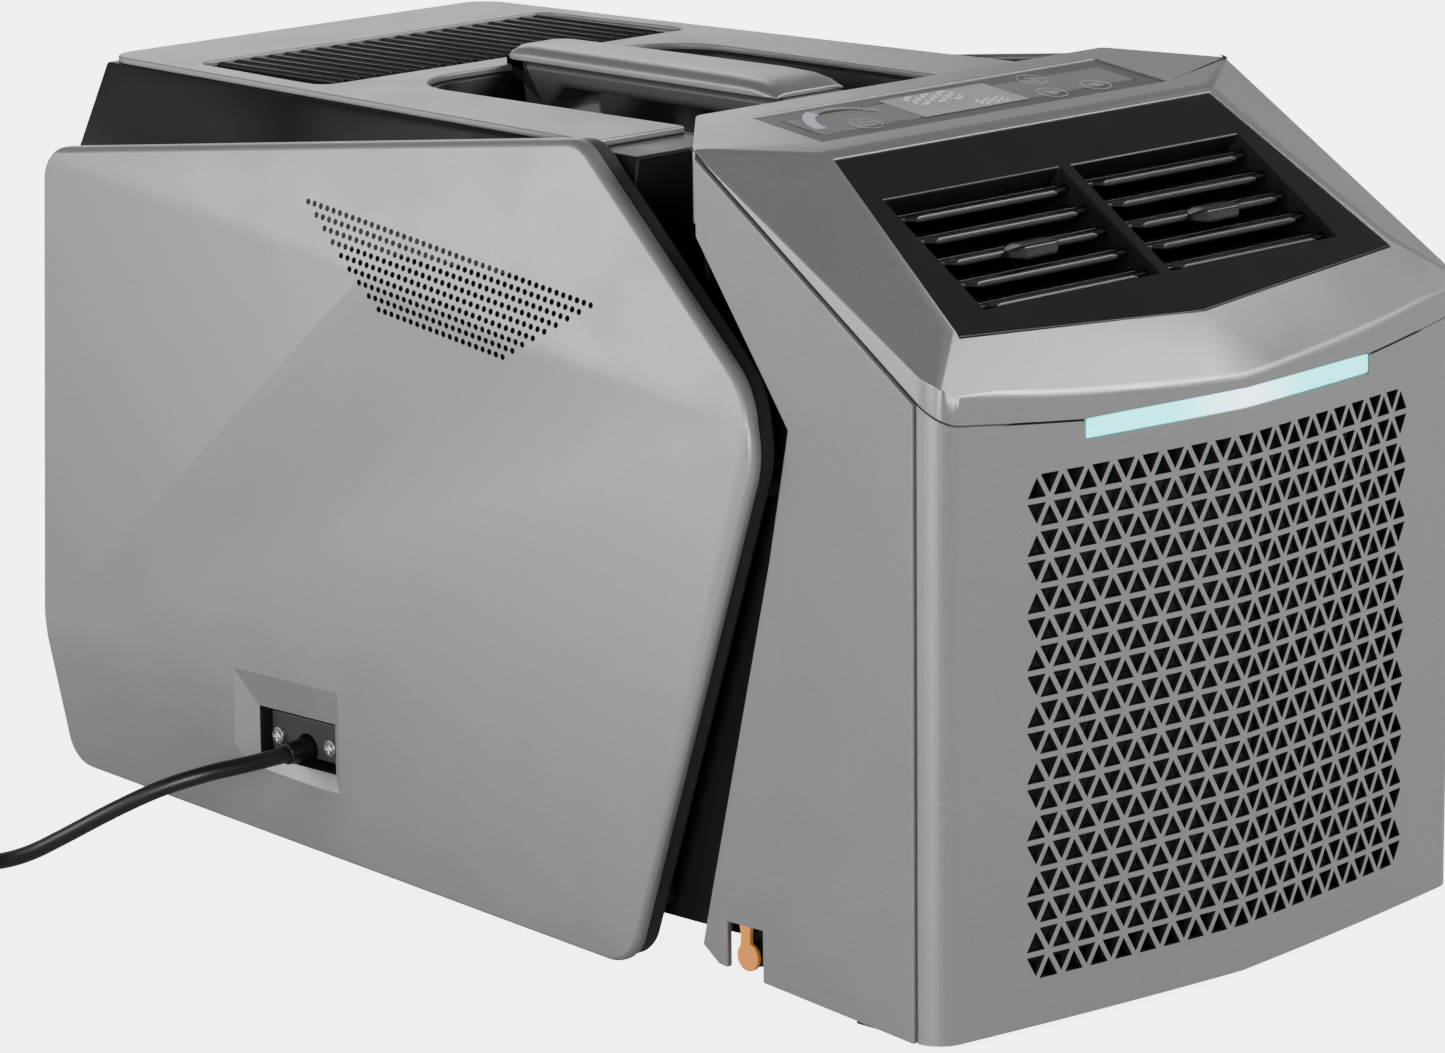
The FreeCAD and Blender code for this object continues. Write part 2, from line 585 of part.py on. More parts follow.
def handle_well():
    """Black tub under the handle, open to the trench in front."""
    tub = well_outline(0, WELL_FLOOR, DECK_UNDER)
    return tub.cut(well_outline(-2.5, WELL_FLOOR + 2.5, DECK_UNDER + 1)).cut(
        brick((-size("well_half") + 2.5, TRENCH - 10, WELL_FLOOR + 2.5),
              (size("well_half") - 2.5, TRENCH, DECK_UNDER + 1))).common(
        brick((-200, TRENCH + 0.3, 0), (200, REAR, 400)))


# corners of a side panel: along the housing, up, and the corner's radius
PANEL_CORNERS = [
    (REAR - 23.4, size("deck_height") - 30.1, 16), (FRONT + 207.2, size("deck_height") + 4.3, 18),
    (FRONT + 93.7, size("waist_height") + 4.3, 40), (FRONT + 168.7, 5, 18), (REAR - 22.9, 24, 14),
    (REAR - 13.2, 88, 30)]


def panel_face(inset):
    """Side view of the left panel as a face on its outer plane, shrunk by an inset."""
    points = [Vector(-SPAN, y, z) for y, z, _ in PANEL_CORNERS]
    wire = rounded(points, [radius for _, _, radius in PANEL_CORNERS])
    face = Part.Face(wire)
    return face.makeOffset2D(-inset) if inset else face


def panel_planes(depth):
    """The outer plane and the two leaning facets of the left panel, moved in by a depth."""
    planes = [(Vector(-SPAN + depth, 0, 0), Vector(-1, 0, 0))]
    upper_line = (Vector(0, FRONT + 97, size("waist_height") - 0.2), Vector(0, 1, 0.153))
    lower_line = (Vector(0, FRONT + 168.7, 9), Vector(0, 1, 0.2))
    folds = ((upper_line, size("upper_lean"), 1), (lower_line, size("lower_lean"), -1))
    for (start, along), lean, sign in folds:
        along.normalize()
        away = Vector(0, -along.z, along.y) * sign
        normal = along.cross(away + Vector(lean, 0, 0)).normalize()
        planes.append((start + Vector(-SPAN + depth, 0, 0), normal * (1 if normal.x < 0 else -1)))
    return planes


def slab(inset, start, end):
    """A folded plate of the left side between two depths under the panel's outer faces."""
    block = panel_face(inset).extrude(Vector(60, 0, 0))
    outer, inner = block, block
    for point, normal in panel_planes(start):
        outer = trim(outer, point, normal)
    for point, normal in panel_planes(end):
        inner = trim(inner, point, normal)
    return outer.cut(inner)


def recess_block(margin, start, end):
    """The lead's recess as a block between two depths inwards of the side panel."""
    rise = size("recess_height") / 2 + margin
    return brick((-SPAN + start, RECESS_Y - RECESS_HALF - margin, RECESS_Z - rise),
                 (-SPAN + end, RECESS_Y + RECESS_HALF + margin, RECESS_Z + rise))


def side_panel():
    """Left outer panel: a painted shell of three facets with a rim."""
    thick = size("panel_thick")
    return slab(0, 0, thick).cut(slab(WALL, 2.5, thick + 5))


def panel_carrier():
    """Dark frame behind the left panel, with bosses that stand on the rear body."""
    start, end = size("panel_thick"), size("panel_thick") + size("carrier_thick")
    ring = slab(1, start, end).cut(slab(size("rim_width"), start - 3, end + 3))
    reach = SPAN - size("body_half") - end
    for y, z in ((FRONT + 112, SPLIT - 24), (FRONT + 170, 32), (REAR - 50, 42), (REAR - 26, SPLIT - 76)):
        ring = ring.fuse(Part.makeCylinder(5, reach + 1, Vector(-SPAN + end - 1, y, z), Vector(1, 0, 0)))
    return ring


made("lower_body_shell", lower_body_shell())
made("upper_body_shell", upper_body_shell())
made("top_deck", top_deck())
made("deck_vent_grille", deck_vent_grille())
made("handle_well", handle_well())
PANEL, CARRIER = side_panel(), panel_carrier()
made("left_side_panel", PANEL.cut(recess_block(0, -5, 20)))
made("right_side_panel", mirrored(PANEL))
made("left_panel_carrier", CARRIER)
made("right_panel_carrier", mirrored(CARRIER))
cup = recess_block(2.5, size("panel_thick") - 2.5 + 0.3, SPAN - size("body_half"))
cup = cup.cut(slab(0, -5, size("panel_thick") - 2.5 + 0.3))
made("lead_recess", cup.cut(recess_block(0, 0, SPAN - size("body_half") - 2.5)))

handle_rear = "well_rear + 4"
handle_front = "-body_length / 2 + handle_front"
cap_back = "-body_length / 2 + front_depth + 36"
handle_top = "deck_height + handle_rise"
arm_under, grip_under = handle_top + " - 27", handle_top + " - handle_thick"
well_floor = "deck_height - well_depth + 2.5"
UPPER_HALF = [
    (handle_front, handle_top + " - 7"), (handle_front + " + 9", handle_top),
    (handle_rear + " - 6", handle_top), (handle_rear, handle_top + " - 7")]
LOWER_HALF = [
    (cap_back, handle_top + " - 9"), (cap_back, arm_under), (handle_front + " + 4", arm_under),
    (handle_front + " + 22", grip_under), (handle_rear + " - 34", grip_under),
    (handle_rear + " - 26", grip_under + " - 8"), (handle_rear + " - 36", well_floor),
    (handle_rear + " - 16", well_floor), (handle_rear + " - 8", "deck_height + seat_gap"),
    (handle_rear + " - 1", "deck_height + seat_gap"), (handle_rear + " - 1", handle_top + " - 7"),
    (handle_front + " + 1", handle_top + " - 7")]
node(profile("handle_upper", "YZ_Plane", UPPER_HALF, "-handle_half", "2 * handle_half"), "handle_upper")
node(profile("handle_lower", "YZ_Plane", LOWER_HALF, "-handle_half + wall", "2 * (handle_half - wall)"),
     "handle_lower")

# ---- base, cooling circuit and fans ---------------------------------------------------------

def outlet_duct():
    """Tapered duct from the blower's mouth up to the outlet sleeve."""
    half = size("outlet_divider") / 2 + size("outlet_width") + 3
    start, end = size("outlet_start") - 2, size("outlet_start") + size("outlet_length") + 2

    def ring(inset):
        wide, reach = half - inset, size("scroll_radius") - inset
        corners = ((-wide, start + inset), (wide, start + inset), (wide, end - inset), (-wide, end - inset))
        top = [on_outlet(x, along, size("sleeve_depth") + size("seat_gap")) for x, along in corners]
        base = [Vector(x, SCROLL_Y + y, SCROLL_TOP)
                for x, y in ((-wide, reach), (wide, reach), (wide, -reach), (-wide, -reach))]
        return Part.makeLoft([Part.makePolygon(top + top[:1]), Part.makePolygon(base + base[:1])], True, True)

    return ring(0).cut(ring(2.0))


def blower_housing():
    """Scroll around the blower wheel, open at its ends and at the mouth on top, on two legs."""
    half, radius = size("scroll_half"), size("scroll_radius")
    axis = Vector(1, 0, 0)
    outer = Part.makeCylinder(radius, 2 * half, Vector(-half, SCROLL_Y, SCROLL_Z), axis)
    outer = outer.fuse(brick((-half, SCROLL_Y - radius, SCROLL_Z), (half, SCROLL_Y + radius, SCROLL_TOP)))
    inner = Part.makeCylinder(radius - 2, 2 * half - 4, Vector(-half + 2, SCROLL_Y, SCROLL_Z), axis)
    mouth = brick((-half + 2, SCROLL_Y - radius + 2, SCROLL_Z),
                  (half - 2, SCROLL_Y + radius - 2, SCROLL_TOP + 1))
    eye = Part.makeCylinder(size("wheel_radius") - 6, 3 * half, Vector(-1.5 * half, SCROLL_Y, SCROLL_Z), axis)
    outer = outer.cut(inner.fuse(mouth)).cut(eye)
    for x in (-half + 2, half - 12):
        leg = brick((x, SCROLL_Y + 8, UNDER + WALL), (x + 10, SCROLL_Y + radius - 14, SCROLL_Z - radius + 12))
        inside = Part.makeCylinder(radius - 1, 2 * half, Vector(-half, SCROLL_Y, SCROLL_Z), axis)
        outer = outer.fuse(leg.cut(inside))
    return outer.removeSplitter()


def blower_wheel():
    """Drum of forward blades between two rings, with a hub disc in the middle."""
    half, radius = size("wheel_half"), size("wheel_radius")
    axis, middle = Vector(1, 0, 0), Vector(0, SCROLL_Y, SCROLL_Z)
    parts = []
    for x in (-half, half - 2):
        ring = Part.makeCylinder(radius, 2, middle + Vector(x, 0, 0), axis)
        parts.append(ring.cut(Part.makeCylinder(radius - 9, 2, middle + Vector(x, 0, 0), axis)))
    parts.append(Part.makeCylinder(radius, 2, middle + Vector(-1, 0, 0), axis))
    parts.append(Part.makeCylinder(11, 16, middle + Vector(-8, 0, 0), axis))
    fin = brick((-half, SCROLL_Y - 0.6, SCROLL_Z + radius - 8.5),
                (half, SCROLL_Y + 0.6, SCROLL_Z + radius - 0.5))
    count = int(size("wheel_blades"))
    for index in range(count):
        one = fin.copy()
        one.rotate(middle, axis, 360 * index / count)
        parts.append(one)
    wheel = parts[0].multiFuse(parts[1:])
    bore = size("shaft_radius") + size("shaft_clearance")
    return wheel.cut(Part.makeCylinder(bore, 40, middle + Vector(-20, 0, 0), axis)).removeSplitter()


def axial_fan():
    """Condenser fan: pitched blades on a hub."""
    radius, hub, depth = size("fan_radius"), 24.0, size("fan_depth")
    middle = Vector(0, FAN_Y, FAN_Z)
    wheel = Part.makeCylinder(hub, depth, middle, Vector(0, 1, 0))
    count = int(size("fan_blades"))
    for index in range(count):
        one = brick((-hub, FAN_Y + depth / 2 - 1, FAN_Z + hub - 6),
                    (hub, FAN_Y + depth / 2 + 1, FAN_Z + radius - 6))
        one.rotate(Vector(0, FAN_Y + depth / 2, FAN_Z), Vector(0, 0, 1), 24)
        one.rotate(middle, Vector(0, 1, 0), 360 * index / count)
        wheel = wheel.fuse(one)
    bore = size("shaft_radius") + size("shaft_clearance")
    wheel = wheel.cut(Part.makeCylinder(bore, 3 * depth, middle - Vector(0, depth, 0), Vector(0, 1, 0)))
    rim = Part.makeCylinder(radius, depth * 2, middle - Vector(0, depth / 2, 0), Vector(0, 1, 0))
    return wheel.common(rim)


def compressor():
    """Closed compressor shell with a domed top and three mounting ears."""
    radius, high = size("compressor_radius"), size("compressor_height")
    shell = Part.makeCylinder(radius, high, COMPRESSOR)
    shell = shell.fuse(Part.makeCylinder(radius - 8, high + 8, COMPRESSOR))
    for index in range(3):
        ear = brick(COMPRESSOR - Vector(9, 0, 0), COMPRESSOR + Vector(9, radius + 14, 3))
        ear.rotate(COMPRESSOR, Vector(0, 0, 1), 120 * index + 30)
        shell = shell.fuse(ear)
    return shell.removeSplitter()


def grommets():
    """Three rubber feet between the compressor's ears and the base pan."""
    rings = []
    for index in range(3):
        angle = math.radians(120 * index + 30 + 90)
        reach = size("compressor_radius") + 6
        spot = COMPRESSOR + Vector(math.cos(angle), math.sin(angle), 0) * reach
        rings.append(Part.makeCylinder(7, COMPRESSOR.z - PAN_TOP, Vector(spot.x, spot.y, PAN_TOP)))
    return Part.makeCompound(rings)


def pipe(points, radius, bend):
    """A tube along straight runs joined by tangent arcs."""
    corners = points[1:-1]
    edges, start = [], points[0]
    for index, corner in enumerate(corners):
        before = (start - corner).normalize() if index == 0 else (points[index] - corner).normalize()
        after = (points[index + 2] - corner).normalize()
        half = before.getAngle(after) / 2
        reach = bend[index] / math.tan(half)
        middle = (before + after).normalize()
        centre = corner + middle * (bend[index] / math.sin(half))
        enter, leave = corner + before * reach, corner + after * reach
        edges.append(Part.LineSegment(start, enter).toShape())
        edges.append(Part.Arc(enter, centre - middle * bend[index], leave).toShape())
        start = leave
    edges.append(Part.LineSegment(start, points[-1]).toShape())
    path = Part.Wire(edges)
    section = Part.Wire(Part.makeCircle(radius, points[0], (points[1] - points[0]).normalize()))
    return path.makePipeShell([section], True, False), path.Length


pan_low, pan_top = "underside + wall", "underside + wall + pan_thick"
pan_front, pan_rear, pan_half = "-body_length / 2 + 175", "body_length / 2 - 55", "body_half - 8"
scroll_y = "-body_length / 2 + core_inset + core_thick + scroll_gap + scroll_radius"
condenser_y = "body_length / 2 - condenser_inset"
fan_y, fan_z = condenser_y + " - fan_depth - 16", pan_top + " + fan_height"
ALONG_X, ALONG_Y = Vector(1, 0, 0), Vector(0, 1, 0)

node(cut("pan_pressing",
         box("pan_block", (f"-({pan_half})", pan_front, pan_low),
             (pan_half, pan_rear, pan_low + " + pan_rim")),
         box("pan_hollow", (f"-({pan_half}) + pan_thick", pan_front + " + pan_thick", pan_top),
             (pan_half + " - pan_thick", pan_rear + " - pan_thick", pan_low + " + pan_rim + 5"))), "base_pan")
node(box("evaporator", ("-core_half", "-body_length / 2 + core_inset", "underside - 8"),
         ("core_half", "-body_length / 2 + core_inset + core_thick", "underside - 8 + core_height")),
     "evaporator")
node(box("condenser", ("-core_half", condenser_y, pan_top),
         ("core_half", condenser_y + " + core_thick - condenser_trim", pan_top + " + core_height")),
     "condenser")
node(box("intake_filter", ("-core_half - 4", "-body_length / 2 + core_inset - 4", "underside - 8"),
         ("core_half + 4", "-body_length / 2 + core_inset - seat_gap", "underside - 8 + core_height")),
     "intake_filter")
made("blower_housing", blower_housing())
made("blower_wheel", blower_wheel())
node(join("blower_drive", [
    cylinder("blower_can", "can_radius", "can_length", ("scroll_half + 1.5", scroll_y, "scroll_height"),
             ALONG_X),
    cylinder("blower_shaft", "shaft_radius", "scroll_half + 12", ("-10", scroll_y, "scroll_height"), ALONG_X),
    box("blower_bracket", ("scroll_half", scroll_y + " - 4", "scroll_height - wheel_radius - 2"),
        ("scroll_half + 1.5", scroll_y + " + 4", "scroll_height + wheel_radius + 2"))]), "blower_motor")
made("outlet_duct", outlet_duct())
node(cut("shroud_moulding",
         join("shroud_blank", [
             box("shroud_plate", ("-core_half", condenser_y + " - 5", pan_top),
                 ("core_half", condenser_y + " - 3", pan_top + " + core_height + 4")),
             cylinder("shroud_ring", "fan_radius + fan_clearance + 2", "34",
                      ("0", condenser_y + " - 39", fan_z), ALONG_Y)]),
         cylinder("shroud_bore", "fan_radius + fan_clearance", "60", ("0", condenser_y + " - 50", fan_z),
                  ALONG_Y)), "fan_shroud")
made("condenser_fan", axial_fan())
node(join("fan_drive", [
    cylinder("fan_can", "motor_radius", "motor_length", ("0", fan_y + " - 10 - motor_length", fan_z),
             ALONG_Y),
    cylinder("fan_shaft", "shaft_radius", "10 + fan_depth", ("0", fan_y + " - 10", fan_z), ALONG_Y),
    box("fan_foot", ("-22", fan_y + " - motor_length + 2", pan_top),
        ("22", fan_y + " - motor_length + 20", fan_z + " - motor_radius + 8"))]), "fan_motor")
made("compressor", compressor())
made("compressor_grommets", grommets())
top_port = COMPRESSOR + Vector(14, 0, size("compressor_height") + 8)
pipe_x, pipe_y = size("core_half") + 10, CONDENSER_Y + (size("core_thick") - size("condenser_trim")) / 2
pipe_z = top_port.z + 16
pipe_route = [top_port, Vector(top_port.x, top_port.y, pipe_z), Vector(pipe_x, top_port.y, pipe_z),
              Vector(pipe_x, pipe_y, pipe_z), Vector(size("core_half") + 0.2, pipe_y, pipe_z)]
pipe_shape, _ = pipe(pipe_route, 3.2, [8, 8, 8])
made("refrigerant_pipes", pipe_shape)
made("control_board", panel_plate(10, 4.0, 1.6))

# ---- small parts and the mains lead ---------------------------------------------------------

def front_base():
    """Floor of the front housing, with posts that carry the front of the rear body."""
    plate = front_block(WALL + 0.2, FASCIA_BACK + 34, FLOOR, FLOOR + WALL)
    plate = plate.fuse(brick((-112, FASCIA_BACK + 30, FLOOR), (112, COVER_BACK - 6, FLOOR + WALL)))
    for x in (-104, 104):
        for y in (BODY_FRONT + 10, BODY_FRONT + 44):
            plate = plate.fuse(Part.makeCylinder(6, UNDER - FLOOR, Vector(x, y, FLOOR)))
    return plate.removeSplitter()


def bulkhead():
    """Walls between the cold front and the warm rear: one in the body, one behind the cap."""
    half = size("body_half") - WALL - 0.3
    lower = brick((-half, FRONT + 169, PAN_Z), (half, FRONT + 171, NECK_TOP - WALL))
    wall = cap_block(WALL + 0.3).cut(cap_block(WALL + 2.8))
    upper = wall.common(brick((-HALF + 22, COVER_BACK + GAP, NECK_TOP),
                              (HALF - 22, CAP_BACK, CAP_SKIRT + 12)))
    return Part.makeCompound([lower, upper])


def rear_grille():
    """Slatted outlet of the condenser, in the leaning rear wall of the lower shell."""
    slab_points = [(REAR - 19, UNDER + 63), (REAR - 7, SPLIT), (REAR - 7 - WALL, SPLIT),
                   (REAR - 19 - WALL, UNDER + 63)]
    plate = side_view(slab_points, GRILLE_HALF - 0.3)
    plate = plate.common(brick((-GRILLE_HALF, REAR - 60, GRILLE_LOW + size("seat_gap")),
                               (GRILLE_HALF, REAR, GRILLE_TOP - size("seat_gap"))))
    row_pitch, slot_high, bar, columns = 9, 5, 3, 4
    column_pitch = (2 * GRILLE_HALF - 3 * bar) / columns
    for row in range(int((GRILLE_TOP - GRILLE_LOW - 12) / row_pitch)):
        low = GRILLE_LOW + 8 + row * row_pitch
        for column in range(columns):
            start = -GRILLE_HALF + 2 * bar + column * column_pitch
            plate = plate.cut(brick((start, REAR - 60, low),
                                    (start + column_pitch - bar, REAR, low + slot_high)))
    return plate


def ring_between(place, axis, inner, outer, length):
    """A short tube along an axis."""
    return Part.makeCylinder(outer, length, place, axis).cut(Part.makeCylinder(inner, length, place, axis))




def drain_spout():
    """Outlet of the condensate drain, on a flange against the lower shell's flank."""
    start, end = -size("body_half") - 0.2, -size("body_half") - 8
    bore = size("bung_bore")
    tube = ring_between(Vector(start, BUNG_Y, BUNG_Z), OUT, bore, bore + 1.4, start - end)
    flange = brick((start - 1.5, BUNG_Y - 7, BUNG_Z - 6), (start, BUNG_Y + 7, UNDER + 9))
    flange = flange.cut(Part.makeCylinder(bore, 20, Vector(start + 5, BUNG_Y, BUNG_Z), OUT))
    return tube.fuse(flange).removeSplitter()


def drain_bung():
    """Soft bung with a round head; its stem seats in the spout."""
    face = -size("body_half") - 8.2
    head = Part.makeCylinder(size("bung_radius"), 2.3, Vector(face, BUNG_Y, BUNG_Z), OUT)
    reach = 5.5
    stem = Part.makeCylinder(size("bung_bore") - 0.05, reach, Vector(face + reach, BUNG_Y, BUNG_Z), OUT)
    return head.fuse(stem).removeSplitter()


def screw_hole(side):
    """The bore for one of the clamp's screws, on the left or right of the lead."""
    return Part.makeCylinder(1.7, 20, Vector(CLAMP_X - 5, RECESS_Y + SCREW_STEP * side, SCREW_Z), ALONG_X)


def lead_clamp():
    """Clamp plate over the lead, on two feet that hold its screws."""
    thick, long, high, foot_half = size("clamp_thick"), 21, 8, 4.5
    plate = brick((CLAMP_X, RECESS_Y - long, RECESS_Z - high),
                  (CLAMP_X + thick, RECESS_Y + long, RECESS_Z + high))
    plate = plate.cut(Part.makeCylinder(LEAD + 2.8, 20, Vector(CLAMP_X - 5, RECESS_Y, LEAD_Z), ALONG_X))
    for side in (-1, 1):
        y = RECESS_Y + SCREW_STEP * side
        foot = brick((CLAMP_X + thick, y - foot_half, SCREW_Z - foot_half),
                     (-size("body_half") - 2.5, y + foot_half, SCREW_Z + foot_half))
        plate = plate.fuse(foot).cut(screw_hole(side))
    return plate.removeSplitter()


def clamp_screws():
    """Two pan-head screws with cross recesses."""
    screws = []
    for side in (-1, 1):
        place = Vector(CLAMP_X, RECESS_Y + SCREW_STEP * side, SCREW_Z)
        shank = -size("body_half") - 3.0 - CLAMP_X
        screw = Part.makeCylinder(size("screw_head"), 2.2, place, OUT).fuse(
            Part.makeCylinder(1.6, shank, place + Vector(shank, 0, 0), OUT))
        for width, high in ((4.0, 0.9), (0.9, 4.0)):
            screw = screw.cut(brick((CLAMP_X - 3, place.y - width / 2, SCREW_Z - high / 2),
                                    (CLAMP_X - 1.1, place.y + width / 2, SCREW_Z + high / 2)))
        screws.append(screw)
    return Part.makeCompound(screws)


def lead_bush():
    """Tapered strain relief around the lead's exit."""
    wide, narrow, start = LEAD + 2.2, LEAD + 0.9, BUSH_START - 0.2
    return Part.makeCone(wide, narrow, size("bush_length") - 0.2, Vector(start, RECESS_Y, LEAD_Z), OUT)


LEAD_ROUTE = [(BUSH_END, RECESS_Y, LEAD_Z), (-185.5, 95.7, 56.2), (-201.5, 103.8, 54), (-214, 119, 47.5),
              (-224, 138, 36.5), (-231.5, 158, 24), (-237, 179, 12), (-240.5, 200, 5.4), (-243, 220, 3.8),
              (-243.9, 238, 3.7)]


def route_bends(points):
    """The largest arc radius at each inner point of the lead's route."""
    radii = []
    for index in range(1, len(points) - 1):
        before, after = points[index - 1] - points[index], points[index + 1] - points[index]
        half = before.getAngle(after) / 2
        radii.append(0.45 * min(before.Length, after.Length) * math.tan(half))
    return radii


def power_plug():
    """Two-pin plug with flat pins, lying on the coil."""
    length, wide, high = 34.0, 24.0, 17.0
    low = size("coil_height") + 0.1
    ring = (size("coil_outer") + size("coil_inner")) / 2
    middle = COIL + Vector(0, ring, 0)
    reach = Vector(length / 2, wide / 2, 0)
    body = brick(middle - reach + Vector(0, 0, low), middle + reach + Vector(0, 0, low + high))
    body = body.makeFillet(4, body.Edges)
    pin, pin_half, pin_rise, pin_step = 17, 0.75, 3.2, 6.35
    for y in (middle.y - pin_step, middle.y + pin_step):
        body = body.fuse(brick((middle.x - length / 2 - pin, y - pin_half, low + high / 2 - pin_rise),
                               (middle.x - length / 2 + 1, y + pin_half, low + high / 2 + pin_rise)))
    return body.removeSplitter()


made("front_base", front_base())
tray_front = "-body_length / 2 + core_inset - 5.5"
tray_rear = "-body_length / 2 + core_inset + core_thick + 4"
node(cut("tray_moulding",
         box("tray_block", ("-core_half - 8", tray_front, "front_gap + wall"),
             ("core_half + 8", tray_rear, "underside + 2")),
         box("tray_pocket", ("-core_half - 4.2", tray_front + " + 1.3", "underside - 8"),
             ("core_half + 4.2", tray_rear + " - 2", "underside + 5"))), "drain_tray")
made("bulkhead", bulkhead())
made("rear_grille", rear_grille())
made("drain_spout", drain_spout())
made("drain_bung", drain_bung())
made("lead_clamp", lead_clamp())
made("clamp_screws", clamp_screws())
made("lead_bush", lead_bush())
route = [Vector(*point) for point in LEAD_ROUTE]
bends = route_bends(route)
lead_shape, lead_run = pipe(route, LEAD, bends)
print("lead radii", [round(bend) for bend in bends], "run", round(lead_run), "volume share",
      round(lead_shape.Volume / (math.pi * LEAD ** 2 * lead_run), 4))
made("power_lead", lead_shape)
coil_place = (str(COIL.x), str(COIL.y), "0")
node(cut("coil_ring", cylinder("coil_disc", "coil_outer", "coil_height", coil_place),
         cylinder("coil_hole", "coil_inner", "coil_height", coil_place)), "lead_coil")
made("power_plug", power_plug())
front_foot_y = str(CORNER + 32)
node(join("foot_set", [
    cylinder("foot_front_left", "foot_radius", "front_gap", ("-front_foot_half", front_foot_y, "0")),
    cylinder("foot_front_right", "foot_radius", "front_gap", ("front_foot_half", front_foot_y, "0")),
    cylinder("foot_rear_left", "foot_radius", "underside", ("-rear_foot_half", "body_length / 2 - 96", "0")),
    cylinder("foot_rear_right", "foot_radius", "underside",
             ("rear_foot_half", "body_length / 2 - 96", "0"))]), "feet")

document.recompute()
os.makedirs("parts", exist_ok=True)
for piece in NODES:
    shape = piece.Shape
    if shape.isNull() or not shape.isValid() or {"Invalid", "Error"} & set(piece.State):
        raise SystemExit(f"{piece.Label} is not sound")
    shape.exportStep(f"parts/{piece.Label}.step")
    print(piece.Label, len(shape.Solids), "solids", round(shape.Volume), "mm3")
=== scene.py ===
"""Looks of the portable air conditioner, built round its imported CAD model.

Every length is in metres.  The front faces -Y, +X is on the right of someone who
looks at the front, and +Z is up.  Sizes that a maker would know in millimetres are
written as such and turned to metres by `mm`.
"""

import logging
import math
from collections import defaultdict
from dataclasses import dataclass, field
from enum import Enum
from typing import Callable, Iterable, Sequence

import bmesh
import bpy
from mathutils import Matrix, Vector


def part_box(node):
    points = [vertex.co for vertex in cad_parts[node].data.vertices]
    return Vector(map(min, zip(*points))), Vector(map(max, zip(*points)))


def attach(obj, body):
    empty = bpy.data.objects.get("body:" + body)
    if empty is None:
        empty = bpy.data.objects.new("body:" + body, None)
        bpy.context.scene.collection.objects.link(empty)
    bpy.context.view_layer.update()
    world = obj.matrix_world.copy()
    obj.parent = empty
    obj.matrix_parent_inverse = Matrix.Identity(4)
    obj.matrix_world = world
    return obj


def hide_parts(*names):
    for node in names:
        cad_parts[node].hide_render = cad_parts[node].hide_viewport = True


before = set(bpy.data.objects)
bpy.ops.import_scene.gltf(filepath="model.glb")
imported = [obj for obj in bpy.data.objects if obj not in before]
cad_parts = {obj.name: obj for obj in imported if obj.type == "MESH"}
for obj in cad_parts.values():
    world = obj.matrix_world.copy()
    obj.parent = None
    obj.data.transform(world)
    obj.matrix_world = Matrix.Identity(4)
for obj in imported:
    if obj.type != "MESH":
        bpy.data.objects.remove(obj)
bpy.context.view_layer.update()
LOG = logging.getLogger("air_conditioner")
Point = tuple[float, float]
Mesh, Piece, Socket, Work = bpy.types.Mesh, bpy.types.Object, bpy.types.NodeSocket, bmesh.types.BMesh


def mm(*values: float) -> Vector | float:
    """Turn millimetres into metres: one number, or three as a vector."""
    return values[0] / 1000 if len(values) == 1 else Vector(values) / 1000


# ---- finishes --------------------------------------------------------------------------------

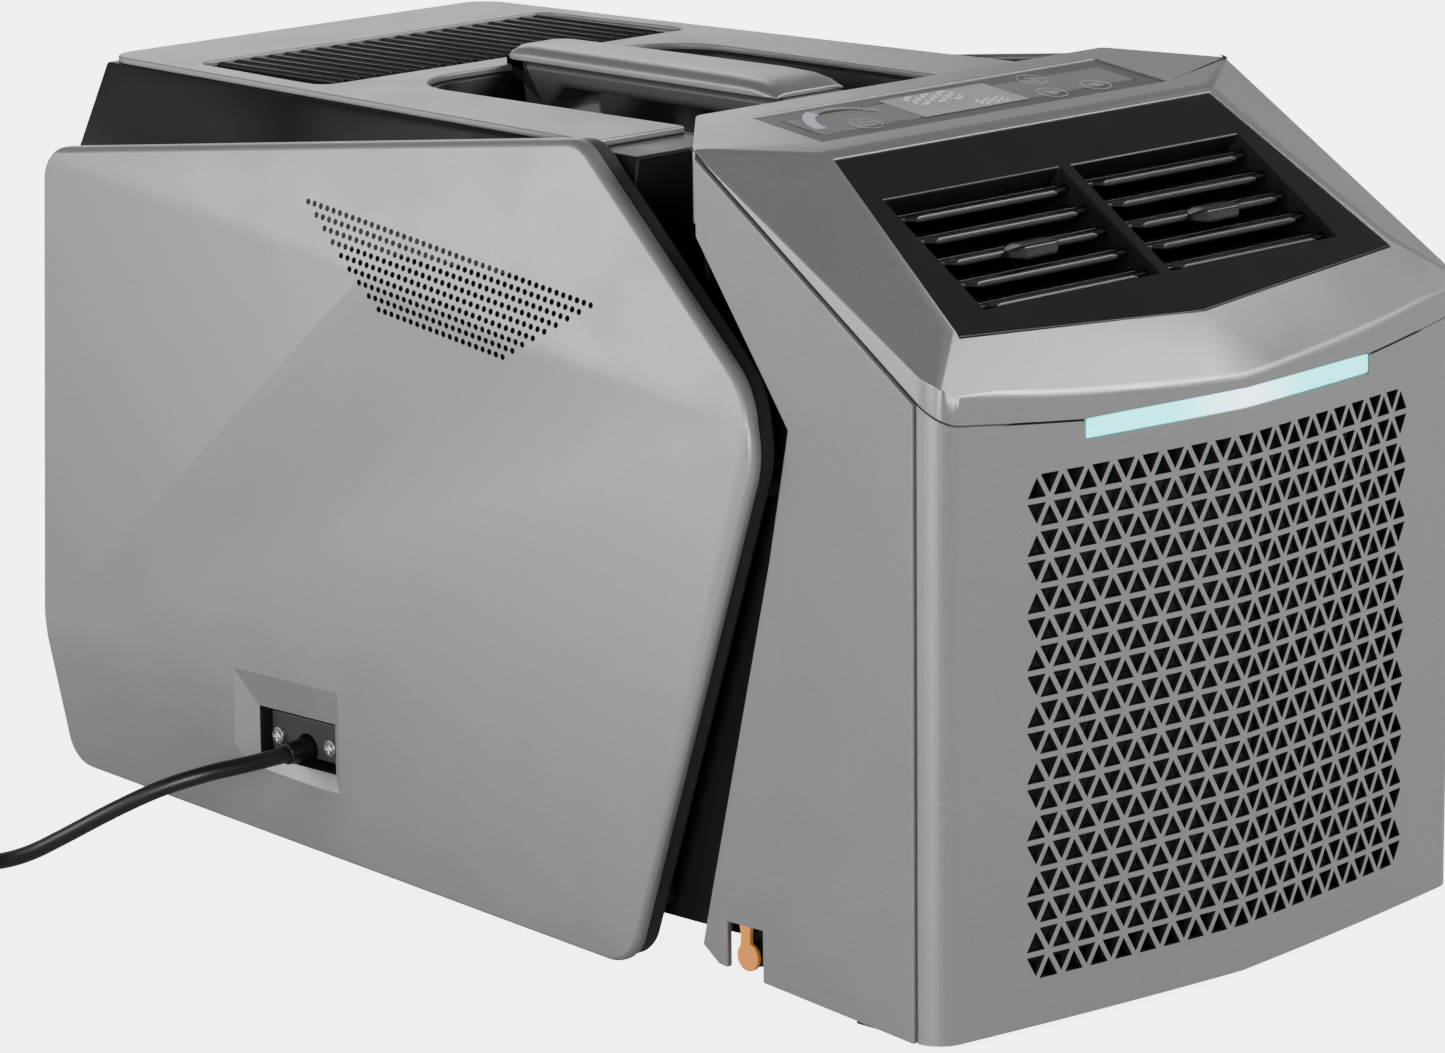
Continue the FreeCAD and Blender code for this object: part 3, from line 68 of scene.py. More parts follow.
class Recipe:
    """A material under construction: adds shader nodes and links them."""

    def __init__(self, name: str) -> None:
        """Start a material with its principled shader.

        Args:
            name: the material's name.
        """
        self.material = bpy.data.materials.new(name)
        self.material.use_nodes = True
        self.tree = self.material.node_tree
        self.shader = self.tree.nodes["Principled BSDF"]
        self.place = self.add("ShaderNodeTexCoord").outputs["Object"]

    def add(self, kind: str, links: dict | None = None, **values: object) -> bpy.types.Node:
        """Add a node.

        Args:
            kind: the node's type.
            links: output sockets to join to this node's inputs, by input name or number.
            values: numbers for inputs, or settings of the node itself.

        Returns:
            The new node.
        """
        made = self.tree.nodes.new(kind)
        for name, value in values.items():
            title = name.replace("_", " ").title()
            if title in made.inputs:
                made.inputs[title].default_value = value
            else:
                setattr(made, name, value)
        for name, socket in (links or {}).items():
            self.tree.links.new(socket, made.inputs[name])
        return made

    def noise(self, scale: float, detail: float = 2.0,
              stretch: Sequence[float] = (1, 1, 1)) -> Socket:
        """A noise on the object's own coordinates; `stretch` multiplies the scale along each axis."""
        mapped = self.add("ShaderNodeMapping", {"Vector": self.place})
        mapped.inputs["Scale"].default_value = stretch
        return self.add("ShaderNodeTexNoise", {"Vector": mapped.outputs[0]}, scale=scale,
                        detail=detail).outputs["Fac"]

    def spread(self, source: Socket, low: float, high: float) -> Socket:
        """Map a 0 to 1 signal, which mostly lies from 0.3 to 0.7, to a range of values."""
        node = self.add("ShaderNodeMapRange", {"Value": source})
        for name, value in (("From Min", 0.3), ("From Max", 0.7), ("To Min", low), ("To Max", high)):
            node.inputs[name].default_value = value
        return node.outputs["Result"]

    def blend(self, share: Socket, first: Sequence[float],
              second: Sequence[float]) -> Socket:
        """Mix two colours by a signal."""
        node = self.add("ShaderNodeMix", {0: share}, data_type="RGBA")
        node.inputs[6].default_value = (*first, 1)
        node.inputs[7].default_value = (*second, 1)
        return node.outputs[2]

    def feed(self, name: str, source: Socket) -> None:
        """Join a signal to one of the shader's inputs."""
        self.tree.links.new(source, self.shader.inputs[name])

    def raise_by(self, source: Socket, depth: float, strength: float,
                 below: Socket | None = None) -> Socket:
        """Turn a signal into bumps.

        Args:
            source: the height signal.
            depth: the height of the bumps.
            strength: how strongly they bend the light.
            below: the normal of an earlier bump, to add to.

        Returns:
            The new normal.
        """
        node = self.add("ShaderNodeBump", {"Height": source}, distance=depth, strength=strength)
        if below is not None:
            self.tree.links.new(below, node.inputs["Normal"])
        return node.outputs["Normal"]


@dataclass(frozen=True)
class Finish:
    """A moulded or coated surface: its colour, gloss, fine grain and slow variation."""

    name: str
    colour: tuple[float, float, float]
    roughness: float
    metallic: float = 0.0
    grain: float = 1500.0
    grain_depth: float = 0.00003
    grain_strength: float = 0.25
    mottling: float = 0.08
    coat: float = 0.0
    specular: float = 0.5

    @property
    def label(self) -> str:
        """The material's name, which differs from the plain one of the CAD model."""
        return self.name + "_finish"

    def start(self) -> Recipe:
        """The recipe with the values that are the same all over the surface."""
        recipe = Recipe(self.label)
        shader = recipe.shader
        shader.inputs["Metallic"].default_value = self.metallic
        shader.inputs["Coat Weight"].default_value = self.coat
        shader.inputs["Coat Roughness"].default_value = 0.25
        shader.inputs["Specular IOR Level"].default_value = self.specular
        return recipe

    def shades(self) -> tuple[tuple[float, ...], tuple[float, ...]]:
        """A darker and a lighter version of the colour."""
        return (tuple(c * (1 - self.mottling) for c in self.colour),
                tuple(min(1.0, c * (1 + self.mottling)) for c in self.colour))

    def make(self) -> bpy.types.Material:
        """Build the material."""
        recipe = self.start()
        cloud = recipe.noise(9.0, 4.0)
        recipe.feed("Base Color", recipe.blend(recipe.spread(cloud, 0, 1), *self.shades()))
        rubbed = recipe.noise(38.0, 5.0)
        recipe.feed("Roughness", recipe.spread(rubbed, self.roughness * 0.88, min(1, self.roughness * 1.12)))
        fine = recipe.raise_by(recipe.noise(self.grain, 1.0), self.grain_depth, self.grain_strength)
        recipe.feed("Normal", recipe.raise_by(recipe.noise(14.0, 2.0), 0.00008, 0.08, fine))
        return recipe.material


@dataclass(frozen=True)
class FlakePaint(Finish):
    """Satin paint with fine metal flakes, as sprayed on the silver housings, with painted shade on the walls
    of small holes.
    """

    flake: float = 2600.0
    # Near-black colour of the painted shade on the walls of small holes.
    hole_shade_colour: tuple[float, float, float] = (0.012, 0.012, 0.013)

    def make(self) -> bpy.types.Material:
        """Build the material: flakes tint the colour and tilt the light a little, and marked hole walls get
        painted shade.
        """
        recipe = self.start()
        cells = recipe.add("ShaderNodeTexVoronoi", {"Vector": recipe.place}, scale=self.flake)
        grey = recipe.add("ShaderNodeRGBToBW", {0: cells.outputs["Color"]})
        paint = recipe.blend(recipe.spread(grey.outputs[0], 0, 1), *self.shades())
        # Painted shade: marked faces, the walls of small holes, turn near-black and lose their metal in place
        # of the shadow inside the holes.
        painted_hole_shade = recipe.add("ShaderNodeAttribute")
        painted_hole_shade.attribute_name = "painted_hole_shade"
        cover = recipe.add("ShaderNodeMix", {0: painted_hole_shade.outputs["Fac"], 6: paint}, data_type="RGBA")
        cover.inputs[7].default_value = (*self.hole_shade_colour, 1)
        recipe.feed("Base Color", cover.outputs[2])
        recipe.feed("Metallic", recipe.spread(painted_hole_shade.outputs["Fac"], self.metallic, 0.0))
        recipe.feed("Roughness", recipe.spread(recipe.noise(30.0, 5.0), self.roughness * 0.92,
                                               self.roughness * 1.08))
        fine = recipe.raise_by(grey.outputs[0], 0.00002, self.grain_strength)
        peel = recipe.raise_by(recipe.noise(420.0, 2.0), 0.00002, 0.12, fine)
        recipe.feed("Normal", peel)
        return recipe.material


@dataclass(frozen=True)
class Diffuser(Finish):
    """Frosted strip lit from behind: coloured ends and a paler middle."""

    half_length: float = 0.0825
    pale: tuple[float, float, float] = (0.62, 0.84, 1.0)
    glow: float = 3.2

    def make(self) -> bpy.types.Material:
        """Build the material: the glow follows the distance from the middle."""
        recipe = self.start()
        across = recipe.add("ShaderNodeSeparateXYZ", {0: recipe.place}).outputs["X"]
        away = recipe.add("ShaderNodeMath", {0: across}, operation="ABSOLUTE").outputs[0]
        share = recipe.add("ShaderNodeMapRange", {"Value": away}, interpolation_type="SMOOTHSTEP")
        share.inputs["From Max"].default_value = self.half_length * 0.55
        tint = recipe.blend(share.outputs["Result"], self.pale, self.colour)
        speckle = recipe.noise(160.0, 3.0)
        lit = recipe.add("ShaderNodeMix", {0: recipe.spread(speckle, 0.0, 0.12), 6: tint}, data_type="RGBA")
        lit.inputs[7].default_value = (1, 1, 1, 1)
        recipe.feed("Base Color", tint)
        recipe.feed("Emission Color", lit.outputs[2])
        recipe.shader.inputs["Emission Strength"].default_value = self.glow
        recipe.feed("Roughness", recipe.spread(speckle, self.roughness * 0.8, self.roughness))
        return recipe.material


@dataclass(frozen=True)
class Window(Finish):
    """Tinted clear cover that shows what lies under it."""

    def make(self) -> bpy.types.Material:
        """Build the material: smoky, glossy, with faint smears."""
        recipe = self.start()
        smear = recipe.noise(22.0, 6.0, (1, 3, 1))
        recipe.feed("Base Color", recipe.blend(recipe.spread(smear, 0, 1), *self.shades()))
        recipe.feed("Roughness", recipe.spread(smear, self.roughness * 0.7, self.roughness * 1.4))
        fine = recipe.raise_by(recipe.noise(self.grain, 1.0), self.grain_depth, self.grain_strength)
        recipe.feed("Normal", fine)
        return recipe.material


@dataclass(frozen=True)
class Spun(Finish):
    """Turned, drawn or plated metal with fine lines along one axis."""

    lines: tuple[float, float, float] = (1.0, 1.0, 40.0)

    def make(self) -> bpy.types.Material:
        """Build the material: stretched noise gives the tool lines."""
        recipe = self.start()
        streaks = recipe.noise(60.0, 4.0, self.lines)
        recipe.feed("Base Color", recipe.blend(recipe.spread(streaks, 0, 1), *self.shades()))
        recipe.feed("Roughness", recipe.spread(streaks, self.roughness * 0.7, self.roughness * 1.3))
        recipe.feed("Normal", recipe.raise_by(streaks, self.grain_depth, self.grain_strength))
        return recipe.material


@dataclass(frozen=True)
class Woven(Finish):
    """Fine net: crossing threads raised by two waves."""

    thread: float = 560.0

    def make(self) -> bpy.types.Material:
        """Build the material: the waves give height and darken the holes."""
        recipe = self.start()
        waves = []
        for axis in ("X", "Z"):
            wave = recipe.add("ShaderNodeTexWave", {"Vector": recipe.place}, scale=self.thread / 2,
                              bands_direction=axis)
            waves.append(wave.outputs["Fac"])
        crossed = recipe.add("ShaderNodeMath", {0: waves[0], 1: waves[1]}, operation="MAXIMUM").outputs[0]
        recipe.feed("Base Color", recipe.blend(crossed, (0.004,) * 3, self.colour))
        recipe.feed("Roughness", recipe.spread(recipe.noise(80.0), self.roughness * 0.9, self.roughness))
        recipe.feed("Normal", recipe.raise_by(crossed, 0.0004, 0.8))
        return recipe.material


@dataclass(frozen=True)
class Circuit(Finish):
    """Board lacquer over copper tracks."""

    def make(self) -> bpy.types.Material:
        """Build the material: a brick pattern stands for the tracks under the lacquer."""
        recipe = self.start()
        tracks = recipe.add("ShaderNodeTexBrick", {"Vector": recipe.place}, scale=90.0)
        tracks.inputs["Color1"].default_value = (*self.colour, 1)
        tracks.inputs["Color2"].default_value = (*self.shades()[0], 1)
        tracks.inputs["Mortar"].default_value = (0.10, 0.32, 0.12, 1)
        recipe.feed("Base Color", tracks.outputs["Color"])
        recipe.feed("Roughness", recipe.spread(recipe.noise(60.0), self.roughness * 0.8,
                                               self.roughness * 1.2))
        recipe.feed("Normal", recipe.raise_by(tracks.outputs["Fac"], 0.00003, 0.4))
        return recipe.material


class Surface(Enum):
    """The finishes of the object, each named for what wears it."""

    SILVER = FlakePaint("silver_paint", (0.30, 0.30, 0.305), 0.40, 0.55, mottling=0.05, grain_strength=0.10)
    CAP = FlakePaint("cap_paint", (0.30, 0.30, 0.305), 0.36, 0.55, mottling=0.06, grain_strength=0.10)
    HANDLE = Finish("handle_grey", (0.085, 0.085, 0.088), 0.42, 0.15)
    CARRIER = Finish("carrier_grey", (0.040, 0.040, 0.042), 0.50, specular=0.35)
    BLACK = Finish("black_plastic", (0.010, 0.010, 0.011), 0.42, specular=0.32)
    BEZEL = Finish("bezel_black", (0.011, 0.011, 0.012), 0.36, specular=0.35)
    BLADE = Finish("blade_black", (0.009, 0.009, 0.010), 0.30, coat=0.2, grain_strength=0.06)
    PANEL = Finish("panel_grey", (0.085, 0.085, 0.09), 0.36)
    GLASS = Window("display_cover", (0.115, 0.115, 0.12), 0.18, grain_strength=0.05, coat=0.3)
    SCREEN = Window("screen_grey", (0.38, 0.38, 0.39), 0.22, grain_strength=0.05, coat=0.4)
    PRINT = Finish("printed_ink", (0.44, 0.44, 0.46), 0.5, grain_depth=0.00001)
    SEGMENT = Finish("segment_white", (0.88, 0.88, 0.90), 0.45, grain_depth=0.00001)
    GAUGE = Finish("gauge_lilac", (0.66, 0.64, 0.86), 0.4, grain_depth=0.00001)
    LIGHT = Diffuser("light_diffuser", (0.03, 0.80, 0.78), 0.4)
    NET = Woven("filter_mesh", (0.085, 0.087, 0.09), 0.7)
    FINS = Spun("fin_aluminium", (0.62, 0.63, 0.65), 0.34, 1.0, lines=(1, 1, 8))
    COPPER = Spun("copper_tube", (0.72, 0.36, 0.20), 0.30, 1.0)
    STEEL = Spun("pan_steel", (0.42, 0.43, 0.44), 0.42, 0.9, mottling=0.14, lines=(6, 1, 1))
    MOTOR = Spun("motor_steel", (0.50, 0.51, 0.52), 0.32, 1.0)
    FAN = Finish("fan_plastic", (0.03, 0.03, 0.034), 0.4)
    ENAMEL = Finish("compressor_paint", (0.012, 0.012, 0.013), 0.25, coat=0.6, grain=300.0)
    BOARD = Circuit("board_green", (0.012, 0.11, 0.04), 0.35)
    RUBBER = Finish("foot_rubber", (0.014, 0.014, 0.014), 0.75, grain_strength=0.5)
    BUNG = Finish("bung_rubber", (0.86, 0.30, 0.045), 0.48, mottling=0.05)
    SCREW = Spun("zinc_screw", (0.74, 0.75, 0.77), 0.24, 1.0, lines=(1, 8, 8))
    LEAD = Finish("lead_pvc", (0.008, 0.008, 0.009), 0.36, grain=500.0, grain_strength=0.2)

    def material(self) -> bpy.types.Material:
        """The finish's material, made once."""
        return bpy.data.materials.get(self.value.label) or self.value.make()


# ---- mesh work -------------------------------------------------------------------------------

def cad_mesh(node: str) -> Work:
    """A copy of a CAD node's mesh with its corners joined and its flat faces made whole.

    Args:
        node: the CAD node's name.

    Returns:
        A mesh in work.
    """
    work = bmesh.new()
    work.from_mesh(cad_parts[node].data)
    bmesh.ops.remove_doubles(work, verts=work.verts, dist=mm(0.002))
    bmesh.ops.dissolve_limit(work, angle_limit=math.radians(0.15), verts=work.verts, edges=work.edges)
    return work


def round_edges(work: Work, width: float, segments: int = 2, low: float = 30.0,
                high: float = 181.0, where: Callable[[bmesh.types.BMEdge], bool] | None = None,
                slide: bool = True) -> None:
    """Round the edges of a mesh whose faces meet at an angle within a range.

    Args:
        work: the mesh to change.
        width: how far the rounding reaches along each face.
        segments: facets across the rounding.
        low: smallest angle between the faces' normals, in degrees.
        high: largest such angle, in degrees.
        where: a further test that an edge has to pass.
        slide: whether the ends may slide along the edges that stay crisp.
    """
    chosen = [edge for edge in work.edges if len(edge.link_faces) == 2
              and low <= math.degrees(edge.calc_face_angle(0.0)) < high and (where is None or where(edge))]
    bmesh.ops.bevel(work, geom=chosen, offset=width, offset_type="OFFSET", segments=segments, profile=0.5,
                    affect="EDGES", clamp_overlap=False, loop_slide=slide)


def settle(work: Work, sharp: float = 40.0) -> Mesh:
    """Turn a mesh in work into a smooth-shaded mesh whose flat faces stay flat.

    At each corner the direction that covers the most area wins, so a rounding takes up
    the whole bend in the light and the faces beside it stay even.

    Args:
        work: the mesh in work, which is freed.
        sharp: the angle in degrees past which an edge stays crisp.

    Returns:
        The finished mesh.
    """
    mesh = bpy.data.meshes.new("work")
    work.to_mesh(mesh)
    work.free()
    mesh.shade_smooth()
    mesh.set_sharp_from_angle(angle=math.radians(sharp))
    facing = [item.vector.copy() for item in mesh.polygon_normals]
    keys = [tuple(round(part, 2) for part in normal) for normal in facing]
    spread: dict[tuple[float, ...], float] = defaultdict(float)
    around: list[list[int]] = [[] for _ in mesh.vertices]
    for face in mesh.polygons:
        spread[keys[face.index]] += face.area * 1e6
        for vertex in face.vertices:
            around[vertex].append(face.index)
    limit = math.cos(math.radians(sharp))
    bent = []
    for face in mesh.polygons:
        own = facing[face.index]
        for vertex in face.vertices:
            near = [index for index in around[vertex] if facing[index].dot(own) >= limit]
            total = sum((facing[index] * spread[keys[index]] ** 2 for index in near), Vector())
            bent.append(total.normalized() if total.length else own)
    mesh.normals_split_custom_set(bent)
    return mesh


def evaluated(holder: Piece) -> Mesh:
    """The mesh that an object's modifiers make; the object itself is removed."""
    graph = bpy.context.evaluated_depsgraph_get()
    graph.update()
    mesh = bpy.data.meshes.new_from_object(holder.evaluated_get(graph))
    bpy.data.objects.remove(holder)
    return mesh


def pierced(mesh: Mesh, tool: Mesh) -> Mesh:
    """A mesh with another one's volume taken away."""
    holder, cutter = (bpy.data.objects.new(name, data) for name, data in (("holder", mesh), ("cutter", tool)))
    for item in (holder, cutter):
        bpy.context.collection.objects.link(item)
    cut = holder.modifiers.new("cut", "BOOLEAN")
    cut.operation, cut.solver, cut.object = "DIFFERENCE", "EXACT", cutter
    result = evaluated(holder)
    bpy.data.objects.remove(cutter)
    return result


def place_piece(name: str, mesh: Mesh, surface: Surface, body: str = "housing",
                stands_for: Sequence[str] = ()) -> Piece:
    """Put a finished mesh in the scene as one piece of the object.

    Args:
        name: the piece's name.
        mesh: its mesh, already in place.
        surface: its finish.
        body: the CAD body that it moves with.
        stands_for: CAD nodes that it replaces.

    Returns:
        The new object.
    """
    mesh.name = name
    mesh.materials.clear()
    mesh.materials.append(surface.material())
    piece = bpy.data.objects.new(name, mesh)
    bpy.context.collection.objects.link(piece)
    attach(piece, body)
    if stands_for:
        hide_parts(*stands_for)
    LOG.info("%s: %d faces, %s, rides on %s", name, len(mesh.polygons), surface.value.name, body)
    return piece


def mark_hole_shade(mesh: Mesh, hidden: Callable[[bpy.types.MeshPolygon], bool]) -> None:
    """Mark the faces, such as the walls of small holes, that get painted shade in place of the shadow that
    falls there.
    """
    mark = mesh.attributes.new("painted_hole_shade", "FLOAT", "FACE")
    mark.data.foreach_set("value", [float(hidden(face)) for face in mesh.polygons])


def crisp_copy(node: str, surface: Surface, reach: float) -> Piece:
    """Replace a CAD node by a copy of it whose fine detail keeps its crisp edges.

    Args:
        node: the CAD node's name.
        surface: its finish.
        reach: how far from the middle its holes, whose walls get painted shade, may lie.

    Returns:
        The new object.
    """
    work = bmesh.new()
    work.from_mesh(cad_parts[node].data)
    bmesh.ops.remove_doubles(work, verts=work.verts, dist=mm(0.002))
    mesh = bpy.data.meshes.new("work")
    work.to_mesh(mesh)
    work.free()
    mesh.shade_flat()
    # Painted shade on the walls of the lattice holes.
    mark_hole_shade(mesh, lambda face: abs(face.normal.y) < 0.6 and abs(face.center.x) < reach)
    return place_piece(node + "_shell", mesh, surface, stands_for=(node,))


def soft_copy(node: str, surface: Surface, width: float, body: str = "housing", segments: int = 2,
              low: float = 30.0) -> Piece:
    """Replace a CAD node by a copy of it with rounded edges."""
    work = cad_mesh(node)
    round_edges(work, width, segments, low)
    return place_piece(node + "_shell", settle(work), surface, body, (node,))


def repaint(node: str, surface: Surface) -> None:
    """Give a CAD node that keeps its shape a finish of its own."""
    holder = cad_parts[node]
    holder.data.materials.clear()
    holder.data.materials.append(surface.material())
    LOG.info("%s keeps its CAD shape, in %s", node, surface.value.name)


def block(low: Vector, high: Vector, work: Work | None = None) -> Work:
    """A plain block between two corners, added to a mesh in work or to a new one."""
    work = work or bmesh.new()
    centre, sides = (low + high) / 2, high - low
    bmesh.ops.create_cube(work, size=1, matrix=Matrix.Translation(centre) @ Matrix.Diagonal((*sides, 1)))
    return work


def tube_between(rings: Sequence[Sequence[Vector]], work: Work | None = None,
                 closed: bool = False) -> Work:
    """Skin a row of rings that have equal numbers of points.

    Args:
        rings: the rings, in order.
        work: a mesh in work to add to.
        closed: join the last ring to the first in place of capping both ends.

    Returns:
        The mesh in work.
    """
    work = work or bmesh.new()
    rows = [[work.verts.new(point) for point in ring] for ring in rings]
    count = len(rows[0])
    pairs = list(zip(rows, rows[1:] + rows[:1])) if closed else list(zip(rows, rows[1:]))
    faces = [work.faces.new((first[i], first[(i + 1) % count], second[(i + 1) % count], second[i]))
             for first, second in pairs for i in range(count)]
    if not closed:
        faces += [work.faces.new(rows[0]), work.faces.new(rows[-1])]
    bmesh.ops.recalc_face_normals(work, faces=faces)
    return work


# ---- geometry nodes --------------------------------------------------------------------------

class NodePlan:
    """A Geometry Nodes tree under construction."""

    def __init__(self, name: str) -> None:
        """Start a tree that takes and gives geometry.

        Args:
            name: the tree's name.
        """
        self.tree = bpy.data.node_groups.new(name, "GeometryNodeTree")
        self.tree.interface.new_socket("Geometry", in_out="INPUT", socket_type="NodeSocketGeometry")
        self.tree.interface.new_socket("Geometry", in_out="OUTPUT", socket_type="NodeSocketGeometry")
        self.entry = self.tree.nodes.new("NodeGroupInput")
        self.leave = self.tree.nodes.new("NodeGroupOutput")

    def size(self, name: str, kind: str, value: object = None) -> Socket:
        """Add a named input to the tree.

        Args:
            name: the input's name.
            kind: Float, Int, Vector, Object or Material.
            value: its value until one is given.

        Returns:
            The socket inside the tree.
        """
        socket = self.tree.interface.new_socket(name, in_out="INPUT", socket_type="NodeSocket" + kind)
        if value is not None:
            socket.default_value = value
        return self.entry.outputs[name]

    def add(self, kind: str, links: dict | None = None, **settings: object) -> bpy.types.Node:
        """Add a node, with its settings and the sockets or values of its inputs."""
        made = self.tree.nodes.new(kind)
        for name, value in settings.items():
            setattr(made, name, value)
        for name, source in (links or {}).items():
            if isinstance(source, Socket):
                self.tree.links.new(source, made.inputs[name])
            else:
                made.inputs[name].default_value = source
        return made

    def math(self, operation: str, first: object, second: object = 0.0) -> Socket:
        """One sum on two numbers."""
        return self.add("ShaderNodeMath", {0: first, 1: second}, operation=operation).outputs[0]

    def scaled(self, step: object, count: object) -> Socket:
        """A vector times a number."""
        return self.add("ShaderNodeVectorMath", {0: step, "Scale": count}, operation="SCALE").outputs[0]

    def sum(self, first: object, second: object) -> Socket:
        """Two vectors added."""
        return self.add("ShaderNodeVectorMath", {0: first, 1: second}, operation="ADD").outputs[0]

    def end(self, geometry: Socket, material: Socket) -> bpy.types.NodeTree:
        """Make the instances real, paint them and leave the tree."""
        real = self.add("GeometryNodeRealizeInstances", {0: geometry})
        paint = self.add("GeometryNodeSetMaterial", {"Geometry": real.outputs[0], "Material": material})
        self.tree.links.new(paint.outputs[0], self.leave.inputs[0])
        return self.tree


def rows_plan() -> bpy.types.NodeTree:
    """A tree that repeats one shape in rows: each row may be shifted and shortened.

    Returns:
        The tree, made once, with the inputs Shape, Material, Columns, Rows, Start,
        Column Step, Row Step, Stagger and Trim.
    """
    name = "shape_in_rows"
    if name in bpy.data.node_groups:
        return bpy.data.node_groups[name]
    plan = NodePlan(name)
    shape, paint = plan.size("Shape", "Object"), plan.size("Material", "Material")
    columns, rows = plan.size("Columns", "Int", 2), plan.size("Rows", "Int", 1)
    start = plan.size("Start", "Vector")
    column_step, row_step = plan.size("Column Step", "Vector"), plan.size("Row Step", "Vector")
    stagger, trim = plan.size("Stagger", "Float", 0.0), plan.size("Trim", "Float", 0.0)
    total = plan.math("MULTIPLY", columns, rows)
    line = plan.add("GeometryNodeMeshLine", {"Count": total, "Offset": (0.0, 0.0, 0.0)})
    index = plan.add("GeometryNodeInputIndex").outputs[0]
    row = plan.math("FLOOR", plan.math("DIVIDE", plan.math("ADD", index, 0.5), columns))
    column = plan.math("SUBTRACT", index, plan.math("MULTIPLY", row, columns))
    odd = plan.math("MODULO", row, 2.0)
    shifted = plan.math("ADD", column, plan.math("MULTIPLY", odd, stagger))
    spot = plan.sum(start, plan.sum(plan.scaled(column_step, shifted), plan.scaled(row_step, row)))
    placed = plan.add("GeometryNodeSetPosition", {"Geometry": line.outputs[0], "Position": spot})
    middle = plan.math("MULTIPLY", plan.math("SUBTRACT", columns, 1.0), 0.5)
    away = plan.math("ABSOLUTE", plan.math("SUBTRACT", shifted, middle))
    limit = plan.math("SUBTRACT", plan.math("ADD", middle, 0.6), plan.math("MULTIPLY", row, trim))
    outside = plan.add("FunctionNodeCompare", {0: away, 1: limit}, data_type="FLOAT",
                       operation="GREATER_THAN")
    kept = plan.add("GeometryNodeDeleteGeometry", {"Geometry": placed.outputs[0],
                                                   "Selection": outside.outputs[0]})
    model = plan.add("GeometryNodeObjectInfo", {"Object": shape}, transform_space="ORIGINAL")
    copies = plan.add("GeometryNodeInstanceOnPoints", {"Points": kept.outputs[0],
                                                       "Instance": model.outputs["Geometry"]})
    return plan.end(copies.outputs[0], paint)


def ring_plan() -> bpy.types.NodeTree:
    """A tree that repeats one shape on an arc and turns each copy with it.

    Returns:
        The tree, made once, with the inputs Shape, Material, Count, Centre, Radius,
        First Angle, Angle Step and Axis Tilt.
    """
    name = "shape_on_arc"
    if name in bpy.data.node_groups:
        return bpy.data.node_groups[name]
    plan = NodePlan(name)
    shape, paint = plan.size("Shape", "Object"), plan.size("Material", "Material")
    count, centre = plan.size("Count", "Int", 3), plan.size("Centre", "Vector")
    radius, first = plan.size("Radius", "Float", 0.01), plan.size("First Angle", "Float", 0.0)
    step, tilt = plan.size("Angle Step", "Float", 0.1), plan.size("Axis Tilt", "Float", 0.0)
    line = plan.add("GeometryNodeMeshLine", {"Count": count, "Offset": (0.0, 0.0, 0.0)})
    index = plan.add("GeometryNodeInputIndex").outputs[0]
    angle = plan.math("ADD", first, plan.math("MULTIPLY", index, step))
    across = plan.math("MULTIPLY", radius, plan.math("COSINE", angle))
    along = plan.math("MULTIPLY", radius, plan.math("SINE", angle))
    spot = plan.add("ShaderNodeCombineXYZ", {"X": across, "Y": plan.math("MULTIPLY", along, plan.math(
        "COSINE", tilt)), "Z": plan.math("MULTIPLY", along, plan.math("SINE", tilt))}).outputs[0]
    placed = plan.add("GeometryNodeSetPosition", {"Geometry": line.outputs[0],
                                                  "Position": plan.sum(centre, spot)})
    turned = plan.add("ShaderNodeCombineXYZ", {"X": tilt, "Z": angle}).outputs[0]
    model = plan.add("GeometryNodeObjectInfo", {"Object": shape}, transform_space="ORIGINAL")
    copies = plan.add("GeometryNodeInstanceOnPoints", {"Points": placed.outputs[0],
                                                       "Instance": model.outputs["Geometry"]})
    spun = plan.add("GeometryNodeRotateInstances", {"Instances": copies.outputs[0], "Rotation": turned})
    return plan.end(spun.outputs[0], paint)


def grown(tree: bpy.types.NodeTree, shape: Work, surface: Surface,
          **sizes: object) -> Mesh:
    """Run a tree that repeats a shape and return what it makes as a plain mesh.

    Args:
        tree: the tree.
        shape: the shape to repeat, in work; it is freed.
        surface: the finish of the copies.
        sizes: the tree's inputs, with underscores for the spaces in their names.

    Returns:
        The finished mesh.
    """
    model_mesh = bpy.data.meshes.new("model")
    shape.to_mesh(model_mesh)
    shape.free()
    model_mesh.shade_smooth()
    model_mesh.set_sharp_from_angle(angle=math.radians(35))
    model = bpy.data.objects.new("model", model_mesh)
    holder = bpy.data.objects.new("holder", bpy.data.meshes.new("empty"))
    for item in (model, holder):
        bpy.context.collection.objects.link(item)
    modifier = holder.modifiers.new("grow", "NODES")
    modifier.node_group = tree
    values = {"Shape": model, "Material": surface.material()}
    values.update({name.replace("_", " ").title(): value for name, value in sizes.items()})
    for item in tree.interface.items_tree:
        if item.in_out == "INPUT" and item.name in values:
            modifier[item.identifier] = values[item.name]
    mesh = evaluated(holder)
    bpy.data.objects.remove(model)
    return mesh


# ---- front housing ---------------------------------------------------------------------------

